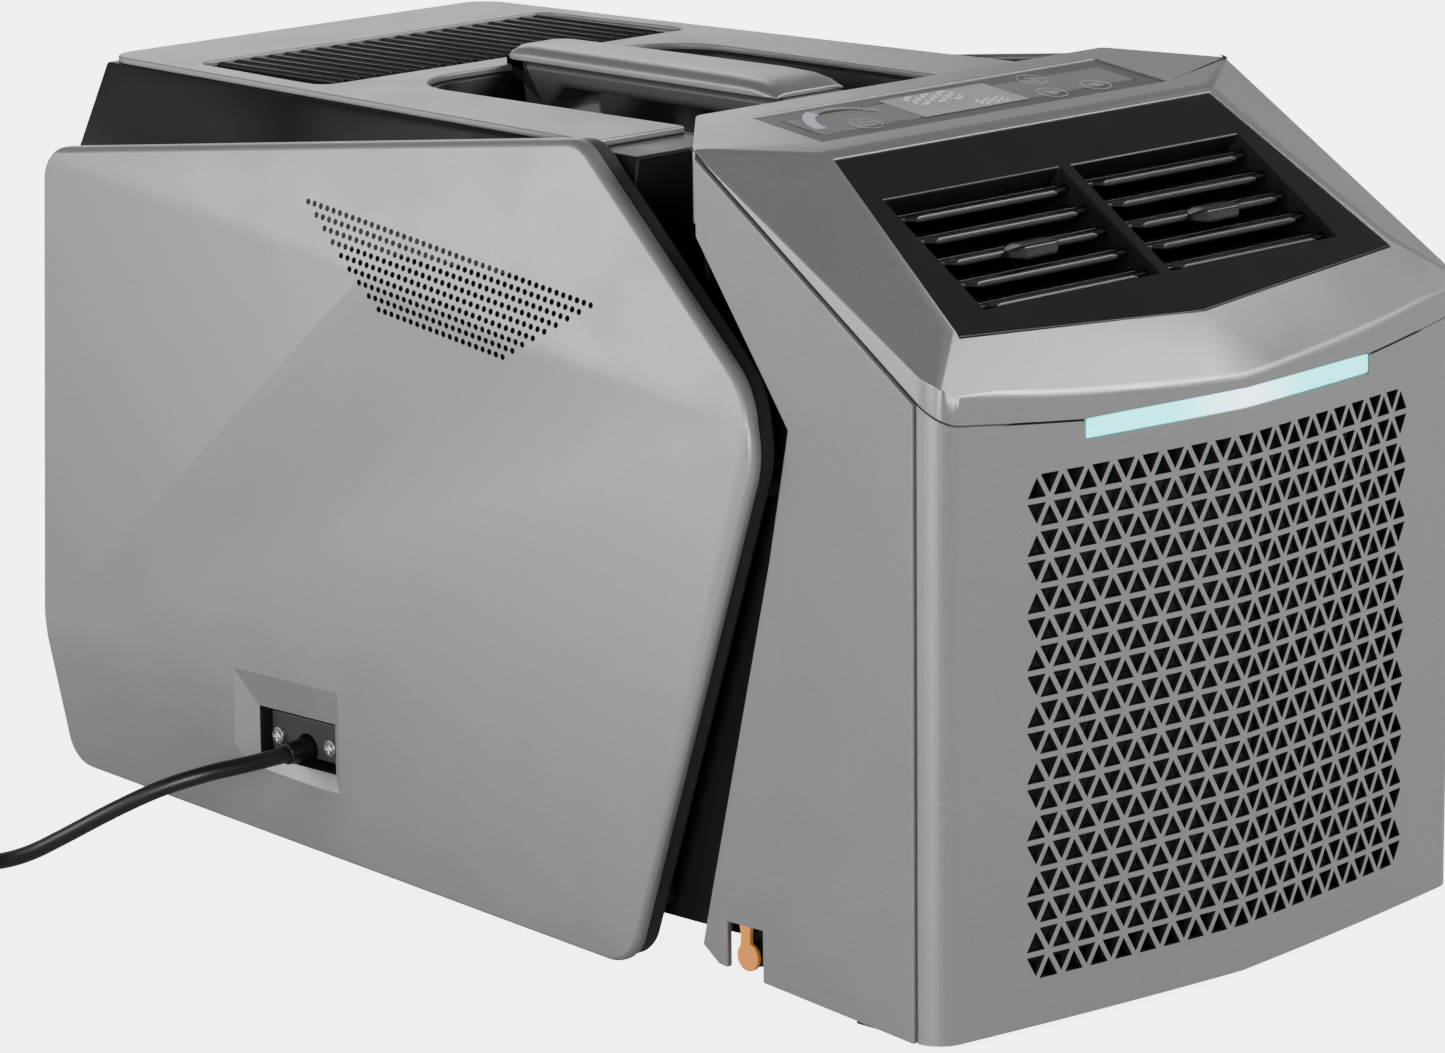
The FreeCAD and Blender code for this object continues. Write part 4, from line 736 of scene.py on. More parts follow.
@dataclass
class FrontHousing:
    """Leaning fascia with its lattice, side covers, cap, light bar and what lies behind them."""

    lattice_half: float = 115.0
    cap_edge: float = 2.4
    cover_edge: float = 0.7
    pitch: float = 12.5
    rows: int = 18
    columns: int = 18
    lattice_bottom: float = 20.3
    mark_radius: float = 0.75
    mark_inset: float = 1.6
    lean_deg: float = 5.2

    def build(self) -> None:
        """Make every piece of the front housing."""
        crisp_copy("front_fascia", Surface.SILVER, mm(self.lattice_half))
        for side in ("left", "right"):
            soft_copy(f"{side}_front_cover", Surface.SILVER, mm(self.cover_edge), low=35)
        self.cap()
        soft_copy("light_bar", Surface.LIGHT, mm(0.6), low=50)
        self.marks()
        repaint("intake_filter", Surface.NET)

    def cap(self) -> None:
        """The cap: its facets meet in wide soft folds, and its rims stay tighter."""
        work = cad_mesh("top_cap")
        round_edges(work, mm(self.cap_edge), 4, 16, 75, lambda edge: edge.is_convex
                    and edge.calc_length() > mm(6))
        round_edges(work, mm(0.5), 2, 55, 181)
        place_piece("top_cap_shell", settle(work), Surface.CAP, stands_for=("top_cap",))

    def marks(self) -> None:
        """Small round ejector marks on some knots of the lattice."""
        low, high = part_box("front_fascia")
        height = self.pitch * math.sqrt(3) / 2
        disc = bmesh.new()
        bmesh.ops.create_cone(disc, cap_ends=True, segments=12, radius1=mm(self.mark_radius),
                              radius2=mm(self.mark_radius * 0.8), depth=mm(0.3),
                              matrix=Matrix.Rotation(math.radians(90), 4, "X"))
        lean = math.tan(math.radians(self.lean_deg))
        across = 4 * self.pitch
        first = Vector((-across * 1.5, low.y * 1000 + across * 1.5 * lean + self.mark_inset,
                        self.lattice_bottom + 3 * height))
        for side, sign in (("left", 1), ("right", -1)):
            start = Vector((sign * first.x, first.y, first.z))
            mesh = grown(rows_plan(), disc.copy(), Surface.SILVER, columns=2, rows=3, start=mm(*start),
                         column_step=mm(sign * across, -across * lean, 0), row_step=mm(0, 0, 6 * height))
            place_piece(f"{side}_lattice_marks", mesh, Surface.SILVER)
        disc.free()


# ---- outlets ---------------------------------------------------------------------------------

@dataclass
class Outlets:
    """The black bezel with its two sets of louvre blades."""

    blades: int = 5
    bezel_edge: float = 0.8
    blade_edge: float = 0.5
    lip: float = 1.7
    notch: float = 11.5
    taper: float = 2.5

    def build(self) -> None:
        """Make the bezel, then each blade on its own body."""
        soft_copy("outlet_frame", Surface.BEZEL, mm(self.bezel_edge), low=28)
        for side in ("left", "right"):
            for number in range(1, self.blades + 1):
                self.blade(side, number)
            self.grip(side)

    def blade(self, side: str, number: int) -> None:
        """A louvre: its rounded plate, with a rolled lip along the front edge between the steps."""
        node = f"{side}_blade_{number}"
        work = cad_mesh(node)
        round_edges(work, mm(self.blade_edge), 2, 40)
        low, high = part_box(node)
        centre_z = (low.z + high.z) / 2
        front = low.y + mm(self.lip) * 0.55
        step, taper = mm(self.notch), mm(self.taper)
        rings = []
        for x, size in ((low.x + step, 0.35), (low.x + step + taper, 1.0), (high.x - step - taper, 1.0),
                        (high.x - step, 0.35)):
            rings.append([Vector((x, front + mm(self.lip) * 0.55 * size * math.cos(turn),
                                  centre_z + mm(self.lip) * size * math.sin(turn)))
                          for turn in (math.tau * i / 12 for i in range(12))])
        tube_between(rings, work)
        place_piece(node + "_vane", settle(work, 50), Surface.BLADE, node, (node,))

    def grip(self, side: str) -> None:
        """The finger tab on the middle blade: a rounded pad that tapers down to its left end."""
        node = f"{side}_blade_grip"
        low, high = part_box(node)
        middle = (low + high) / 2
        rings = []
        sections = ((0.0, 0.45), (0.10, 0.72), (0.22, 0.95), (0.30, 1.0), (0.90, 1.0), (0.97, 0.9),
                    (1.0, 0.62))
        for share, size in sections:
            x = low.x + (high.x - low.x) * share
            rings.append([Vector((x, middle.y + (high.y - low.y) / 2 * size * self.squared(math.cos(turn)),
                                  middle.z + (high.z - low.z) / 2 * size * self.squared(math.sin(turn))))
                          for turn in (math.tau * (i + 0.5) / 24 for i in range(24))])
        place_piece(node + "_pad", settle(tube_between(rings), 60), Surface.BLADE, f"{side}_blade_3", (node,))

    @staticmethod
    def squared(value: float) -> float:
        """Push a sine towards the corners of its square, for a rounded box section."""
        return math.copysign(abs(value) ** 0.45, value)


# ---- control panel ---------------------------------------------------------------------------

@dataclass
class ControlPanel:
    """Inset panel with its display, touch keys and level gauge, all printed or under glass."""

    fall: float = 8.5
    fall_run: float = 61.2
    cap_height: float = 331.0
    cap_back: float = -91.1
    depth: float = 0.4
    line: float = 0.42
    screen: tuple[float, float, float, float] = (-33.8, 26.0, -133.2, -108.0)
    key_radius: float = 6.2
    power_key: Point = (-62.7, -129.2)
    keys: tuple[Point, ...] = ((49.7, -113.0), (42.0, -130.6), (68.0, -130.6))
    gauge: tuple[float, float] = (19.5, 24.4)
    ink: Work = field(default_factory=bmesh.new)
    light: Work = field(default_factory=bmesh.new)

    def build(self) -> None:
        """Make the panel, its glass, the screen and the prints."""
        soft_copy("control_panel", Surface.PANEL, mm(0.35), low=40)
        soft_copy("touch_glass", Surface.GLASS, mm(0.3), low=40)
        left, right, near, far = self.screen
        plate = self.plate([(left, near), (right, near), (right, far), (left, far)], 0.12)
        round_edges(plate, mm(0.06), 1, 60)
        place_piece("display_screen", settle(plate), Surface.SCREEN)
        self.digits()
        self.key_prints()
        place_piece("segment_prints", settle(self.light), Surface.SEGMENT)
        place_piece("key_prints", settle(self.ink), Surface.PRINT)
        self.gauge_prints()

    def at(self, x: float, y: float, lift: float) -> Vector:
        """A point on the panel's slope by its place in plan, lifted off the glass."""
        slope = self.fall / self.fall_run
        normal = Vector((0, -self.fall, self.fall_run)).normalized()
        return mm(*(Vector((x, y, self.cap_height + (y - self.cap_back) * slope))
                    + normal * (lift - self.depth)))

    def plate(self, outline: Sequence[Point], thick: float) -> Work:
        """A thin plate on the glass with a given outline."""
        return tube_between([[self.at(x, y, lift) for x, y in outline] for lift in (0.0, thick)])

    def stroke(self, points: Sequence[Point], work: Work, width: float | None = None,
               closed: bool = False, lift: float = 0.16) -> None:
        """A printed line of even width through some points, with mitred corners.

        Args:
            points: the line's points in plan.
            work: the mesh in work that the line joins.
            width: the line's width.
            closed: whether the last point joins the first.
            lift: height of the print over the glass.
        """
        half, count = (width or self.line) / 2, len(points)
        spots = [Vector(point) for point in points]
        sides: list[tuple[Vector, Vector]] = []
        for index, spot in enumerate(spots):
            before = spots[index - 1] if index or closed else spot
            after = spots[(index + 1) % count] if index < count - 1 or closed else spot
            first = (spot - before).normalized() if before != spot else (after - spot).normalized()
            second = (after - spot).normalized() if after != spot else first
            along = (first + second).normalized()
            square = Vector((-along.y, along.x))
            reach = half / max(0.5, square.dot(Vector((-first.y, first.x))))
            sides.append((spot + square * reach, spot - square * reach))
        rings = [[self.at(*a, 0.0), self.at(*b, 0.0), self.at(*b, lift), self.at(*a, lift)]
                 for a, b in sides]
        tube_between(rings, work, closed)

    def digits(self) -> None:
        """Three large figures and three small ones as outlined segments."""
        for left, near, wide, high, count in ((-22.0, -119.5, 6.6, 9.6, 3), (2.5, -130.8, 3.9, 5.6, 3)):
            for number in range(count):
                self.figure(left + number * wide * 1.42, near, wide, high)

    def figure(self, left: float, near: float, wide: float, high: float) -> None:
        """One seven-segment figure, every segment drawn as a thin outline."""
        bar, half = wide * 0.2, high / 2
        level = [(left, near + half * step, True) for step in range(3)]
        upright = [(left + wide * side, near + half * step, False) for side in (0, 1) for step in (0, 1)]
        for x, y, across in level + upright:
            long = wide if across else half
            tip, slope, half_bar = 0.9 * bar, 1.3 * bar, 0.4 * bar
            shape = [(tip, 0), (slope, -half_bar), (long - slope, -half_bar), (long - tip, 0),
                     (long - slope, half_bar), (slope, half_bar)]
            outline = [(x + a, y + b) if across else (x + b, y + a) for a, b in shape]
            self.stroke(outline, self.light, wide * 0.055, True, 0.28)

    def circle(self, centre: Point, radius: float, start: float = 0.0, end: float = math.tau) -> list[Point]:
        """Points round a circle or an arc."""
        steps = max(6, round(abs(end - start) * 7))
        last = steps if abs(end - start) >= math.tau - 0.001 else steps + 1
        return [(centre[0] + radius * math.cos(start + (end - start) * i / steps),
                 centre[1] + radius * math.sin(start + (end - start) * i / steps)) for i in range(last)]

    def key_prints(self) -> None:
        """A ring round each key, with a plain symbol in it."""
        for centre in (self.power_key, *self.keys):
            self.stroke(self.circle(centre, self.key_radius), self.ink, closed=True)
        x, y = self.power_key
        self.stroke(self.circle(self.power_key, 2.6, math.radians(130), math.radians(410)), self.ink)
        self.stroke([(x, y + 0.4), (x, y + 3.6)], self.ink)
        timer, fan, mode = self.keys
        self.stroke(self.circle(timer, 2.8), self.ink, closed=True)
        self.stroke([(timer[0], timer[1] + 1.9), timer, (timer[0] + 1.5, timer[1] - 0.9)], self.ink)
        for turn in range(3):
            angle = math.tau * turn / 3
            middle = (fan[0] + 1.7 * math.cos(angle), fan[1] + 1.7 * math.sin(angle))
            self.stroke(self.circle(middle, 1.25), self.ink, closed=True)
        for offset in (-1.7, 0.0, 1.7):
            self.stroke([(mode[0] - 2.6, mode[1] + offset), (mode[0] + 2.6, mode[1] + offset)], self.ink)

    def gauge_prints(self) -> None:
        """The level gauge round the power key: a lit band, then ticks."""
        inner, outer = self.gauge
        band = bmesh.new()
        self.stroke(self.circle(self.power_key, (inner + outer) / 2, math.radians(172), math.radians(112)),
                    band, outer - inner)
        place_piece("gauge_band", settle(band), Surface.GAUGE)
        slope = math.atan2(self.fall, self.fall_run)
        tick = block(mm(-(outer - inner) / 2, -0.35, 0), mm((outer - inner) / 2, 0.35, 0.16))
        ticks = grown(ring_plan(), tick, Surface.PRINT, count=22, centre=self.at(*self.power_key, 0.0),
                      radius=mm((inner + outer) / 2), first_angle=math.radians(108),
                      angle_step=math.radians(-3.6), axis_tilt=slope)
        place_piece("gauge_ticks", ticks, Surface.PRINT)


# ---- rear body -------------------------------------------------------------------------------

@dataclass
class RearBody:
    """Black body shells, painted deck, vent, handle well, rear grille and base."""

    shell_edge: float = 1.2
    deck_edge: float = 0.8
    vent_ribs: int = 22
    vent_pitch: float = 9.05
    vent_rib: float = 2.6
    vent_length: float = 77.0
    vent_rise: float = 1.9

    def build(self) -> None:
        """Make every piece of the rear body."""
        for node in ("lower_body_shell", "upper_body_shell"):
            soft_copy(node, Surface.BLACK, mm(self.shell_edge), low=20)
        soft_copy("top_deck", Surface.SILVER, mm(self.deck_edge), low=40)
        soft_copy("handle_well", Surface.BLACK, mm(0.8), low=40)
        soft_copy("deck_vent_grille", Surface.BLACK, mm(0.3), segments=1, low=40)
        self.vent_crests()
        for node in ("rear_grille", "front_base", "bulkhead", "drain_spout"):
            soft_copy(node, Surface.BLACK, mm(0.3), segments=1, low=40)
        soft_copy("feet", Surface.RUBBER, mm(0.8), low=50)

    def vent_crests(self) -> None:
        """Rounded crests on the vent's ribs, repeated across the vent."""
        low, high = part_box("deck_vent_grille")
        half, length, rise = mm(self.vent_rib) / 2, mm(self.vent_length) / 2, mm(self.vent_rise)
        rings = []
        for y, size in ((-length, 0.55), (-length + rise, 1.0), (length - rise, 1.0), (length, 0.55)):
            rings.append([Vector((half * math.cos(turn), y, rise * size * math.sin(turn)))
                          for turn in (math.pi * i / 8 for i in range(9))])
        crest = tube_between(rings)
        middle_y = (low.y + high.y) / 2
        pitch = mm(self.vent_pitch)
        count = self.vent_ribs - 1
        mesh = grown(rows_plan(), crest, Surface.BLACK, columns=count, rows=1,
                     start=Vector((-pitch * (count - 1) / 2, middle_y, high.z - mm(0.1))),
                     column_step=Vector((pitch, 0, 0)), row_step=Vector((0, 0, 0)))
        place_piece("vent_crests", mesh, Surface.BLACK)


# ---- side panels -----------------------------------------------------------------------------

@dataclass
class SidePanels:
    """Faceted painted panels in their dark carriers, with a field of air holes."""

    rim: float = 3.2
    soft: float = 8.0
    folds: tuple[tuple[float, float, float, float, int], ...] = (
        (-169.7, 226.5, 0.153, 0.2145, 1), (-98.0, 9.0, 0.2, 0.117, -1))
    hole: float = 1.25
    hole_step: float = 3.7
    row_step: float = 3.9
    columns: int = 44
    rows: int = 9
    trim: float = 1.55
    slope: float = 0.135
    field_start: tuple[float, float] = (-77.0, 262.0)
    lip: tuple[float, float, float, float] = (67.5, 131.0, 44.5, 86.0)
    mouth: tuple[float, float, float, float] = (71.7, 117.7, 51.0, 72.0)
    lip_depth: float = 2.2
    # Where air-hole walls get painted shade: a box in y and z, and the largest face area.
    hole_shade_zone: tuple[float, float, float, float] = (-95.0, 100.0, 200.0, 268.0)
    hole_shade_area: float = 8.0

    def build(self) -> None:
        """Make both panels and their carriers."""
        for side in ("left", "right"):
            self.panel(side)
            soft_copy(f"{side}_panel_carrier", Surface.CARRIER, mm(1.2), low=35)

    def panel(self, side: str) -> None:
        """One panel: soft folds between its facets, a round rim, then its holes."""
        node = f"{side}_side_panel"
        sign = -1 if side == "left" else 1
        work = cad_mesh(node)
        outer = sign * max(abs(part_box(node)[0].x), abs(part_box(node)[1].x))
        round_edges(work, mm(self.rim), 4, 55, 181, lambda edge: self.on_rim(edge, sign, outer), False)
        mesh = settle(work)
        if side == "left":
            mesh = pierced(mesh, self.flare())
        mesh = pierced(mesh, self.hole_cutters(sign))
        work = bmesh.new()
        work.from_mesh(mesh)
        mesh = settle(work, 28)
        self.soften(mesh, sign)
        # Painted shade on the walls of the air holes.
        mark_hole_shade(mesh, self.in_hole)
        place_piece(node + "_shell", mesh, Surface.SILVER, stands_for=(node,))

    def in_hole(self, face: bpy.types.MeshPolygon) -> bool:
        """Whether a face is part of an air hole's wall."""
        rear, front, low, high = (mm(value) for value in self.hole_shade_zone)
        return (abs(face.normal.x) < 0.6 and rear < face.center.y < front and low < face.center.z < high
                and face.area < mm(1) * mm(self.hole_shade_area))

    def soften(self, mesh: Mesh, sign: int) -> None:
        """Shade the outer skin as flat facets that meet in soft folds."""
        skin = {vertex for face in mesh.polygons if face.normal.x * sign > 0.95 for vertex in face.vertices}
        bent = [item.vector.copy() for item in mesh.corner_normals]
        for face in mesh.polygons:
            for loop, vertex in zip(face.loop_indices, face.vertices):
                wanted = self.facing(mesh.vertices[vertex].co, sign)
                match = face.normal.dot(wanted)
                if vertex in skin and match > (0.998 if self.by_mouth(face.center) else 0.85):
                    bent[loop] = wanted
                elif vertex in skin and match > 0.85:
                    bent[loop] = face.normal.copy()
        mesh.normals_split_custom_set(bent)

    def by_mouth(self, place: Vector) -> bool:
        """Whether a place lies in the height and length of the lip round the lead's mouth."""
        rear, front, low, high = (mm(value) for value in self.lip)
        return rear - mm(1) < place.y < front + mm(1) and low - mm(1) < place.z < high + mm(1)

    def facing(self, place: Vector, sign: int) -> Vector:
        """Which way the skin faces at a place: each facet's lean sets in across its fold."""
        lean = Vector((0.0, 0.0))
        for y, z, rise, slope, side in self.folds:
            away = Vector((-rise, 1.0)).normalized() * side
            reach = (Vector((place.y * 1000 - y, place.z * 1000 - z))).dot(away)
            share = min(1.0, max(0.0, (reach + self.soft) / (2 * self.soft)))
            lean += away * slope * share * share * (3 - 2 * share)
        return Vector((sign, lean.x, lean.y)).normalized()

    def on_rim(self, edge: bmesh.types.BMEdge, sign: int, outer: float) -> bool:
        """Whether an edge lies on the panel's outer rim, and not round the lead's mouth."""
        middle = (edge.verts[0].co + edge.verts[1].co) / 2
        faces_out = any(face.normal.x * sign > 0.9 for face in edge.link_faces)
        rear, front, low, high = (mm(value) for value in (self.mouth[0] - 2, self.mouth[1] + 2,
                                                          self.mouth[2] - 2, self.mouth[3] + 2))
        in_mouth = sign < 0 and rear < middle.y < front and low < middle.z < high
        return faces_out and not in_mouth and abs(outer - middle.x) < mm(30)

    def hole_cutters(self, sign: int) -> Mesh:
        """Pins that drill the field of holes: rows along the upper fold, shorter downwards."""
        pin = bmesh.new()
        bmesh.ops.create_cone(pin, cap_ends=True, segments=12, radius1=mm(self.hole), radius2=mm(self.hole),
                              depth=mm(60), matrix=Matrix.Rotation(math.radians(90), 4, "Y"))
        start, low = self.field_start
        step = self.hole_step
        return grown(rows_plan(), pin, Surface.SILVER, columns=self.columns, rows=self.rows,
                     start=mm(sign * 160.0, start, low), column_step=mm(0, step, step * self.slope),
                     row_step=mm(0, 0, -self.row_step), stagger=0.5, trim=self.trim)

    def flare(self) -> Mesh:
        """The shape that sinks a sloping lip round the lead's mouth."""
        front = -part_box("left_side_panel")[0].x
        rings = []
        for depth, (near, far, low, high) in ((0.0, self.lip), (self.lip_depth, self.mouth)):
            x = -front + mm(depth)
            corners = ((near, low), (far, low), (far, high), (near, high))
            rings.append([Vector((x, mm(y), mm(z))) for y, z in corners])
        rings.insert(0, [point - mm(4, 0, 0) for point in rings[0]])
        work = tube_between(rings)
        mesh = bpy.data.meshes.new("flare")
        work.to_mesh(mesh)
        work.free()
        return mesh


# ---- handle ----------------------------------------------------------------------------------

@dataclass
class Handle:
    """Carrying handle in two halves: a smooth upper shell over a softly rounded lower one."""

    rear: float = 121.4
    front: float = -40.5
    top: float = 327.0
    joint: float = 319.6
    rear_half: float = 15.8
    front_half: float = 20.2

    def build(self) -> None:
        """Make both halves."""
        self.upper()
        work = cad_mesh("handle_lower")
        for vertex in work.verts:
            share = (vertex.co.y * 1000 - self.front) / (self.rear - self.front)
            share = min(1.0, max(0.0, share))
            wide = self.front_half + (self.rear_half - self.front_half) * share
            vertex.co.x *= (wide - 1.1) / 17.0
        round_edges(work, mm(3.0), 4, 12, 181, lambda edge: edge.calc_length() > mm(4))
        place_piece("handle_lower_shell", settle(work), Surface.HANDLE, stands_for=("handle_lower",))

    def upper(self) -> None:
        """The upper shell: sections along the handle, each a low rounded box with a skirt."""
        stations = [(self.rear, -5.2, 0.80), (self.rear - 1.5, -2.8, 0.92), (self.rear - 5.5, -0.9, 1.0),
                    (self.rear - 12.0, -0.2, 1.0), (40.0, 0.0, 1.0), (self.front + 30.0, 0.0, 1.0),
                    (self.front + 14.0, -0.7, 1.0), (self.front + 6.5, -2.4, 0.99),
                    (self.front + 1.0, -4.9, 0.95)]
        rings = []
        for y, drop, size in stations:
            share = (y - self.front) / (self.rear - self.front)
            half = (self.front_half + (self.rear_half - self.front_half) * share) * size
            crown = self.top + drop
            base = self.joint + 0.4
            high = max(1.2, crown - base)
            section = [(half, base), (half, base + high * 0.30), (half - 0.6, base + high * 0.52),
                       (half - 2.2, base + high * 0.80), (half - 4.6, base + high * 0.94),
                       (half - 8.0, crown)]
            ring = section + [(-x, z) for x, z in reversed(section)]
            rings.append([mm(x, y, z) for x, z in ring])
        work = tube_between(rings)
        round_edges(work, mm(0.5), 2, 60)
        place_piece("handle_upper_shell", settle(work, 50), Surface.CAP, stands_for=("handle_upper",))


# ---- lead and drain --------------------------------------------------------------------------

@dataclass
class MainsLead:
    """Mains lead from its bush to the plug: a free stretch, then a neat coil."""

    diameter: float = 6.8
    length: float = 1800.0
    exit: tuple[float, float, float] = (-168.5, 94.7, 56.7)
    route: tuple[tuple[float, float, float], ...] = (
        (-185.5, 95.7, 56.2), (-201.5, 103.8, 54.0), (-214.0, 119.0, 47.5), (-224.0, 138.0, 36.5),
        (-231.5, 158.0, 24.0), (-237.0, 179.0, 12.0), (-240.5, 200.0, 5.4), (-243.0, 220.0, 3.8),
        (-243.9, 238.0, 3.7))
    coil: Point = (-288.0, 246.0)
    first_angle: float = -10.3
    steps: int = 16
    wound: tuple[tuple[float, float, float], ...] = (
        (0.0, 44.2, 3.5), (2.0, 30.6, 3.5), (2.25, 30.6, 10.3), (4.25, 44.2, 10.3), (4.5, 44.2, 17.1),
        (6.4, 31.3, 17.1), (6.65, 31.0, 23.9), (7.21, 41.0, 29.0))

    def build(self) -> None:
        """Make the lead, its bush, clamp and plug."""
        curve = bpy.data.curves.new("mains_lead", "CURVE")
        curve.dimensions = "3D"
        curve.bevel_depth = mm(self.diameter) / 2
        curve.bevel_resolution = 6
        curve.resolution_u = 6
        curve.use_fill_caps = True
        spline = curve.splines.new("NURBS")
        points = [mm(*point) for point in (self.exit, *self.route, *self.turns())]
        spline.points.add(len(points) - 1)
        for item, point in zip(spline.points, points):
            item.co = (*point, 1.0)
        spline.order_u = 3
        spline.use_endpoint_u = True
        lead = bpy.data.objects.new("mains_lead", curve)
        bpy.context.collection.objects.link(lead)
        curve.materials.append(Surface.LEAD.material())
        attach(lead, "housing")
        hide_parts("power_lead", "lead_coil")
        plug = soft_copy("power_plug", Surface.LEAD, mm(0.4), low=60)
        soft_copy("lead_bush", Surface.LEAD, mm(0.4), low=40)
        soft_copy("lead_clamp", Surface.CARRIER, mm(0.5), low=40)
        soft_copy("lead_recess", Surface.BLACK, mm(0.6), low=40)
        soft_copy("clamp_screws", Surface.SCREW, mm(0.25), low=50)
        LOG.info("mains_lead: %d route points", len(points))

    def turns(self) -> Iterable[tuple[float, float, float]]:
        """Points of the wound turns: the winding's radius and height change along the stages."""
        total = self.wound[-1][0]
        for index in range(1, int(total * self.steps) + 1):
            turn = index / self.steps
            low, high = next(pair for pair in zip(self.wound, self.wound[1:]) if turn <= pair[1][0])
            share = (turn - low[0]) / (high[0] - low[0])
            radius, height = (low[part] + (high[part] - low[part]) * share for part in (1, 2))
            angle = math.radians(self.first_angle) + math.tau * turn
            yield (self.coil[0] + radius * math.cos(angle), self.coil[1] + radius * math.sin(angle), height)


@dataclass
class Drain:
    """The drain's rubber bung with its pull tab."""

    tab_top: float = 30.6
    tab_half: float = 2.4
    tab_shift: float = 1.2

    def build(self) -> None:
        """Make the bung and its tab."""
        work = cad_mesh("drain_bung")
        round_edges(work, mm(0.6), 3, 50)
        low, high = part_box("drain_bung")
        face, back = low.x + mm(0.3), low.x + mm(2.0)
        middle = (low.y + high.y) / 2
        rings = []
        for share in range(7):
            z = high.z - mm(2.5) + (mm(self.tab_top) - high.z + mm(2.5)) * share / 6
            half = mm(self.tab_half) * (1.25 - 0.25 * math.sin(math.pi * share / 6))
            corners = ((face, -half), (face, half), (back, half), (back, -half))
            rings.append([Vector((x, middle + mm(self.tab_shift) + y, z)) for x, y in corners])
        tube_between(rings, work)
        place_piece("drain_bung_and_tab", settle(work), Surface.BUNG, "drain_bung", ("drain_bung",))


# ---- machine inside --------------------------------------------------------------------------

@dataclass
class Machine:
    """What the housing holds: coils, fans, motors, compressor, pipes and board."""

    fin_pitch: float = 2.4
    fin_thick: float = 0.35
    fin_edge: float = 1.5
    tube_radius: float = 3.6
    tube_rows: int = 8
    plain: dict[str, Surface] = field(default_factory=lambda: {
        "base_pan": Surface.STEEL, "drain_tray": Surface.BLACK, "outlet_duct": Surface.BLACK,
        "blower_housing": Surface.BLACK, "blower_motor": Surface.MOTOR, "fan_shroud": Surface.BLACK,
        "fan_motor": Surface.MOTOR, "compressor": Surface.ENAMEL, "compressor_grommets": Surface.RUBBER,
        "refrigerant_pipes": Surface.COPPER, "control_board": Surface.BOARD, "condenser_fan": Surface.FAN,
        "blower_wheel": Surface.FAN})

    def build(self) -> None:
        """Paint what keeps its CAD shape and build the fin stacks."""
        for node, surface in self.plain.items():
            repaint(node, surface)
        for node in ("evaporator", "condenser"):
            self.fin_stack(node)

    def fin_stack(self, node: str) -> None:
        """A coil: upright fins in a row, with round tubes through them."""
        low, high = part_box(node)
        half = mm(self.fin_thick) / 2
        plate = block(Vector((-half, low.y, low.z)), Vector((half, high.y, high.z)))
        edge = mm(self.fin_edge)
        count = int((high.x - low.x - 2 * edge) / mm(self.fin_pitch))
        fins = grown(rows_plan(), plate, Surface.FINS, columns=count, rows=1,
                     start=Vector((low.x + edge, 0, 0)), column_step=mm(self.fin_pitch, 0, 0),
                     row_step=Vector((0, 0, 0)))
        tube = bmesh.new()
        bmesh.ops.create_cone(tube, cap_ends=True, segments=16, radius1=mm(self.tube_radius),
                              radius2=mm(self.tube_radius), depth=high.x - low.x,
                              matrix=Matrix.Rotation(math.radians(90), 4, "Y"))
        step = (high.z - low.z) / self.tube_rows
        tubes = grown(rows_plan(), tube, Surface.COPPER, columns=self.tube_rows, rows=1,
                      start=Vector((0, (low.y + high.y) / 2, low.z + step / 2)),
                      column_step=Vector((0, 0, step)), row_step=Vector((0, 0, 0)))
        place_piece(f"{node}_fins", fins, Surface.FINS, stands_for=(node,))
        place_piece(f"{node}_tubes", tubes, Surface.COPPER)


# ---- studio ----------------------------------------------------------------------------------

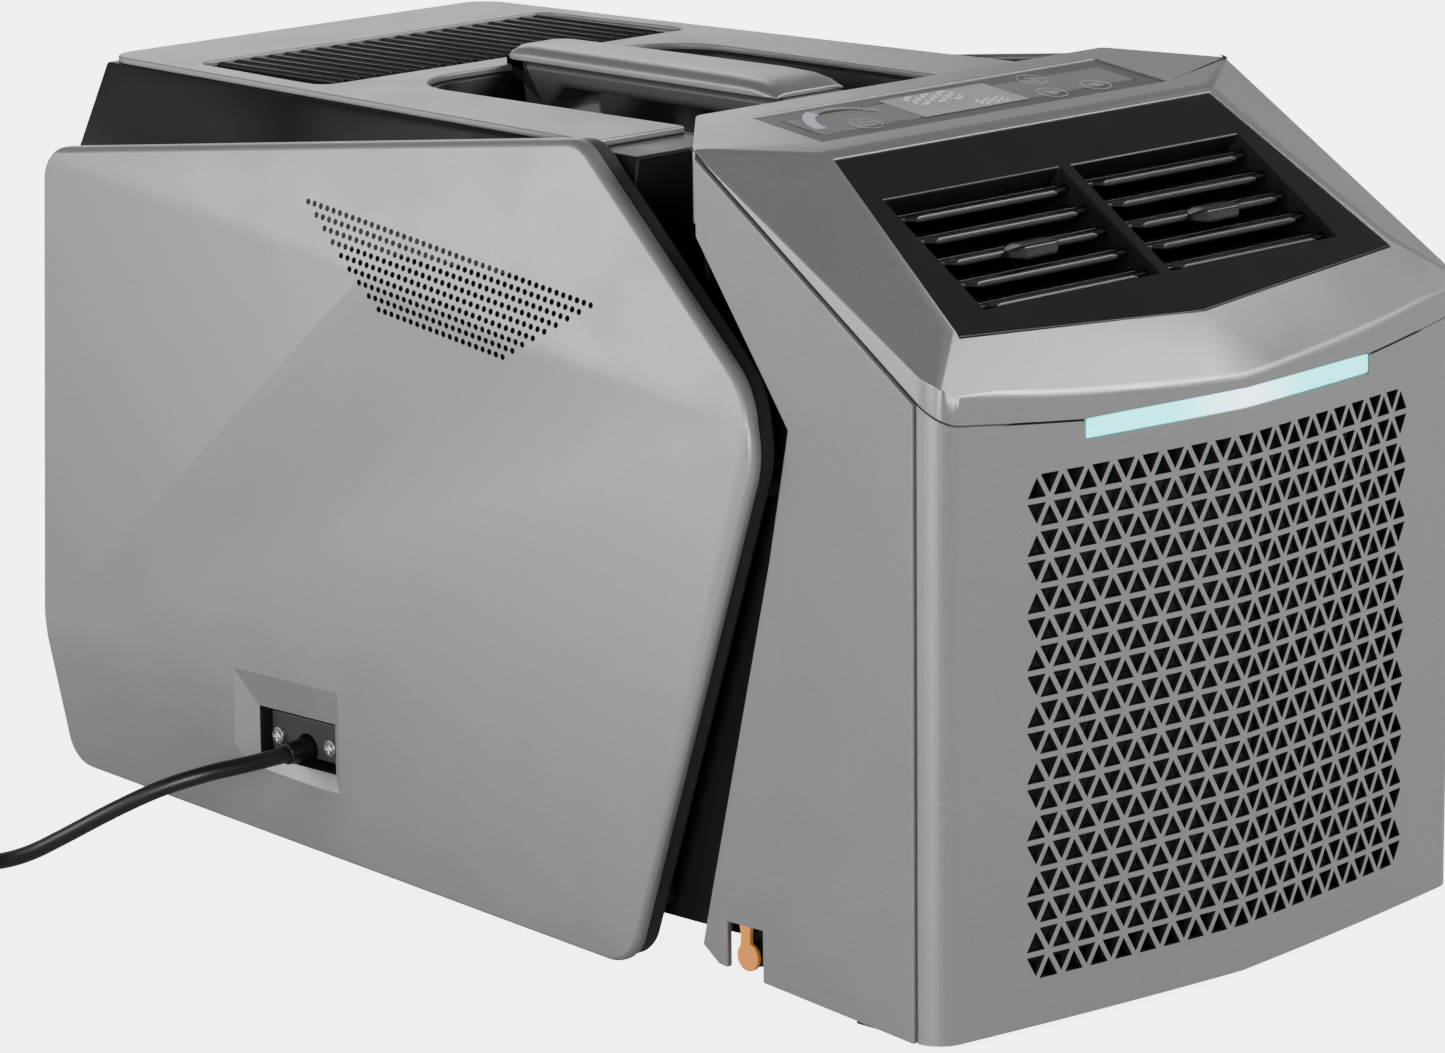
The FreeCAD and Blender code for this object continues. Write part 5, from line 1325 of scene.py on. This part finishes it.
@dataclass
class Studio:
    """Pale floor, soft lights and the camera."""

    floor_half: float = 14.0
    eye: tuple[float, float, float] = (-1.76400, -1.73870, 0.70457)
    ahead: tuple[float, float, float] = (0.69180, 0.68671, -0.22326)
    roll: float = -0.55
    lens: float = 154.7
    floor_glow: float = 5.0
    lights: tuple[tuple[str, tuple[float, float, float], float, float], ...] = (
        ("key_light", (-2.9, -1.1, 0.6), 1.4, 66),
        ("front_light", (1.73, -1.95, 1.76), 0.9, 58),
        ("side_light", (-2.8, 1.9, 0.5), 1.6, 46),
        ("rear_light", (1.6, 2.4, 1.6), 1.4, 14))
    sky: float = 0.62

    def build(self) -> None:
        """Make the floor, the lights, the sky and the camera."""
        work = bmesh.new()
        bmesh.ops.create_grid(work, x_segments=4, y_segments=4, size=self.floor_half)
        mesh = bpy.data.meshes.new("studio_floor")
        work.to_mesh(mesh)
        work.free()
        paper = Recipe("studio_paper")
        paper.shader.inputs["Base Color"].default_value = (0.8, 0.8, 0.8, 1)
        paper.shader.inputs["Roughness"].default_value = 0.9
        paper.shader.inputs["Emission Color"].default_value = (1, 1, 1, 1)
        seen = paper.add("ShaderNodeLightPath").outputs["Is Camera Ray"]
        paper.feed("Emission Strength", paper.spread(seen, 0.0, self.floor_glow))
        mesh.materials.append(paper.material)
        floor = bpy.data.objects.new("studio_floor", mesh)
        bpy.context.collection.objects.link(floor)
        world = bpy.data.worlds.new("studio_sky")
        world.use_nodes = True
        tree = world.node_tree
        heading = tree.nodes.new("ShaderNodeTexCoord")
        height = tree.nodes.new("ShaderNodeSeparateXYZ")
        fall = tree.nodes.new("ShaderNodeMapRange")
        fall.inputs["From Min"].default_value, fall.inputs["From Max"].default_value = 0.1, 0.75
        fall.inputs["To Min"].default_value, fall.inputs["To Max"].default_value = self.sky, self.sky * 0.12
        tree.links.new(heading.outputs["Generated"], height.inputs[0])
        tree.links.new(height.outputs["Z"], fall.inputs["Value"])
        tree.links.new(fall.outputs["Result"], tree.nodes["Background"].inputs["Strength"])
        tree.nodes["Background"].inputs["Color"].default_value = (1, 1, 1, 1)
        bpy.context.scene.world = world
        for light in self.lights:
            self.softbox(*light)
        self.camera()

    def softbox(self, name: str, place: Sequence[float], size: float, power: float) -> None:
        """A square area light that faces the object."""
        light = bpy.data.lights.new(name, "AREA")
        light.size = size
        light.energy = power
        holder = bpy.data.objects.new(name, light)
        holder.location = place
        holder.rotation_euler = (Vector((0, 0, 0.15)) - Vector(place)).to_track_quat("-Z", "Y").to_euler()
        bpy.context.collection.objects.link(holder)

    def camera(self) -> None:
        """The camera: its heading, then its small roll."""
        data = bpy.data.cameras.new("studio_camera")
        data.lens = self.lens
        data.sensor_width = 36
        holder = bpy.data.objects.new("studio_camera", data)
        bpy.context.collection.objects.link(holder)
        ahead = Vector(self.ahead).normalized()
        right = ahead.cross(Vector((0, 0, 1))).normalized()
        up = right.cross(ahead)
        turn = math.radians(self.roll)
        right, up = right * math.cos(turn) + up * math.sin(turn), up * math.cos(turn) - right * math.sin(turn)
        rows = Matrix((right, up, -ahead)).transposed().to_4x4()
        holder.matrix_world = Matrix.Translation(self.eye) @ rows
        bpy.context.scene.camera = holder


def main() -> None:
    """Build the studio, the lead and every sub-assembly."""
    logging.basicConfig(level=logging.INFO, format="%(name)s: %(message)s")
    for part in (Studio(), MainsLead(), FrontHousing(), Outlets(), ControlPanel(), RearBody(), SidePanels(),
                 Handle(), Drain(), Machine()):
        part.build()


if __name__ == "__main__":
    main()
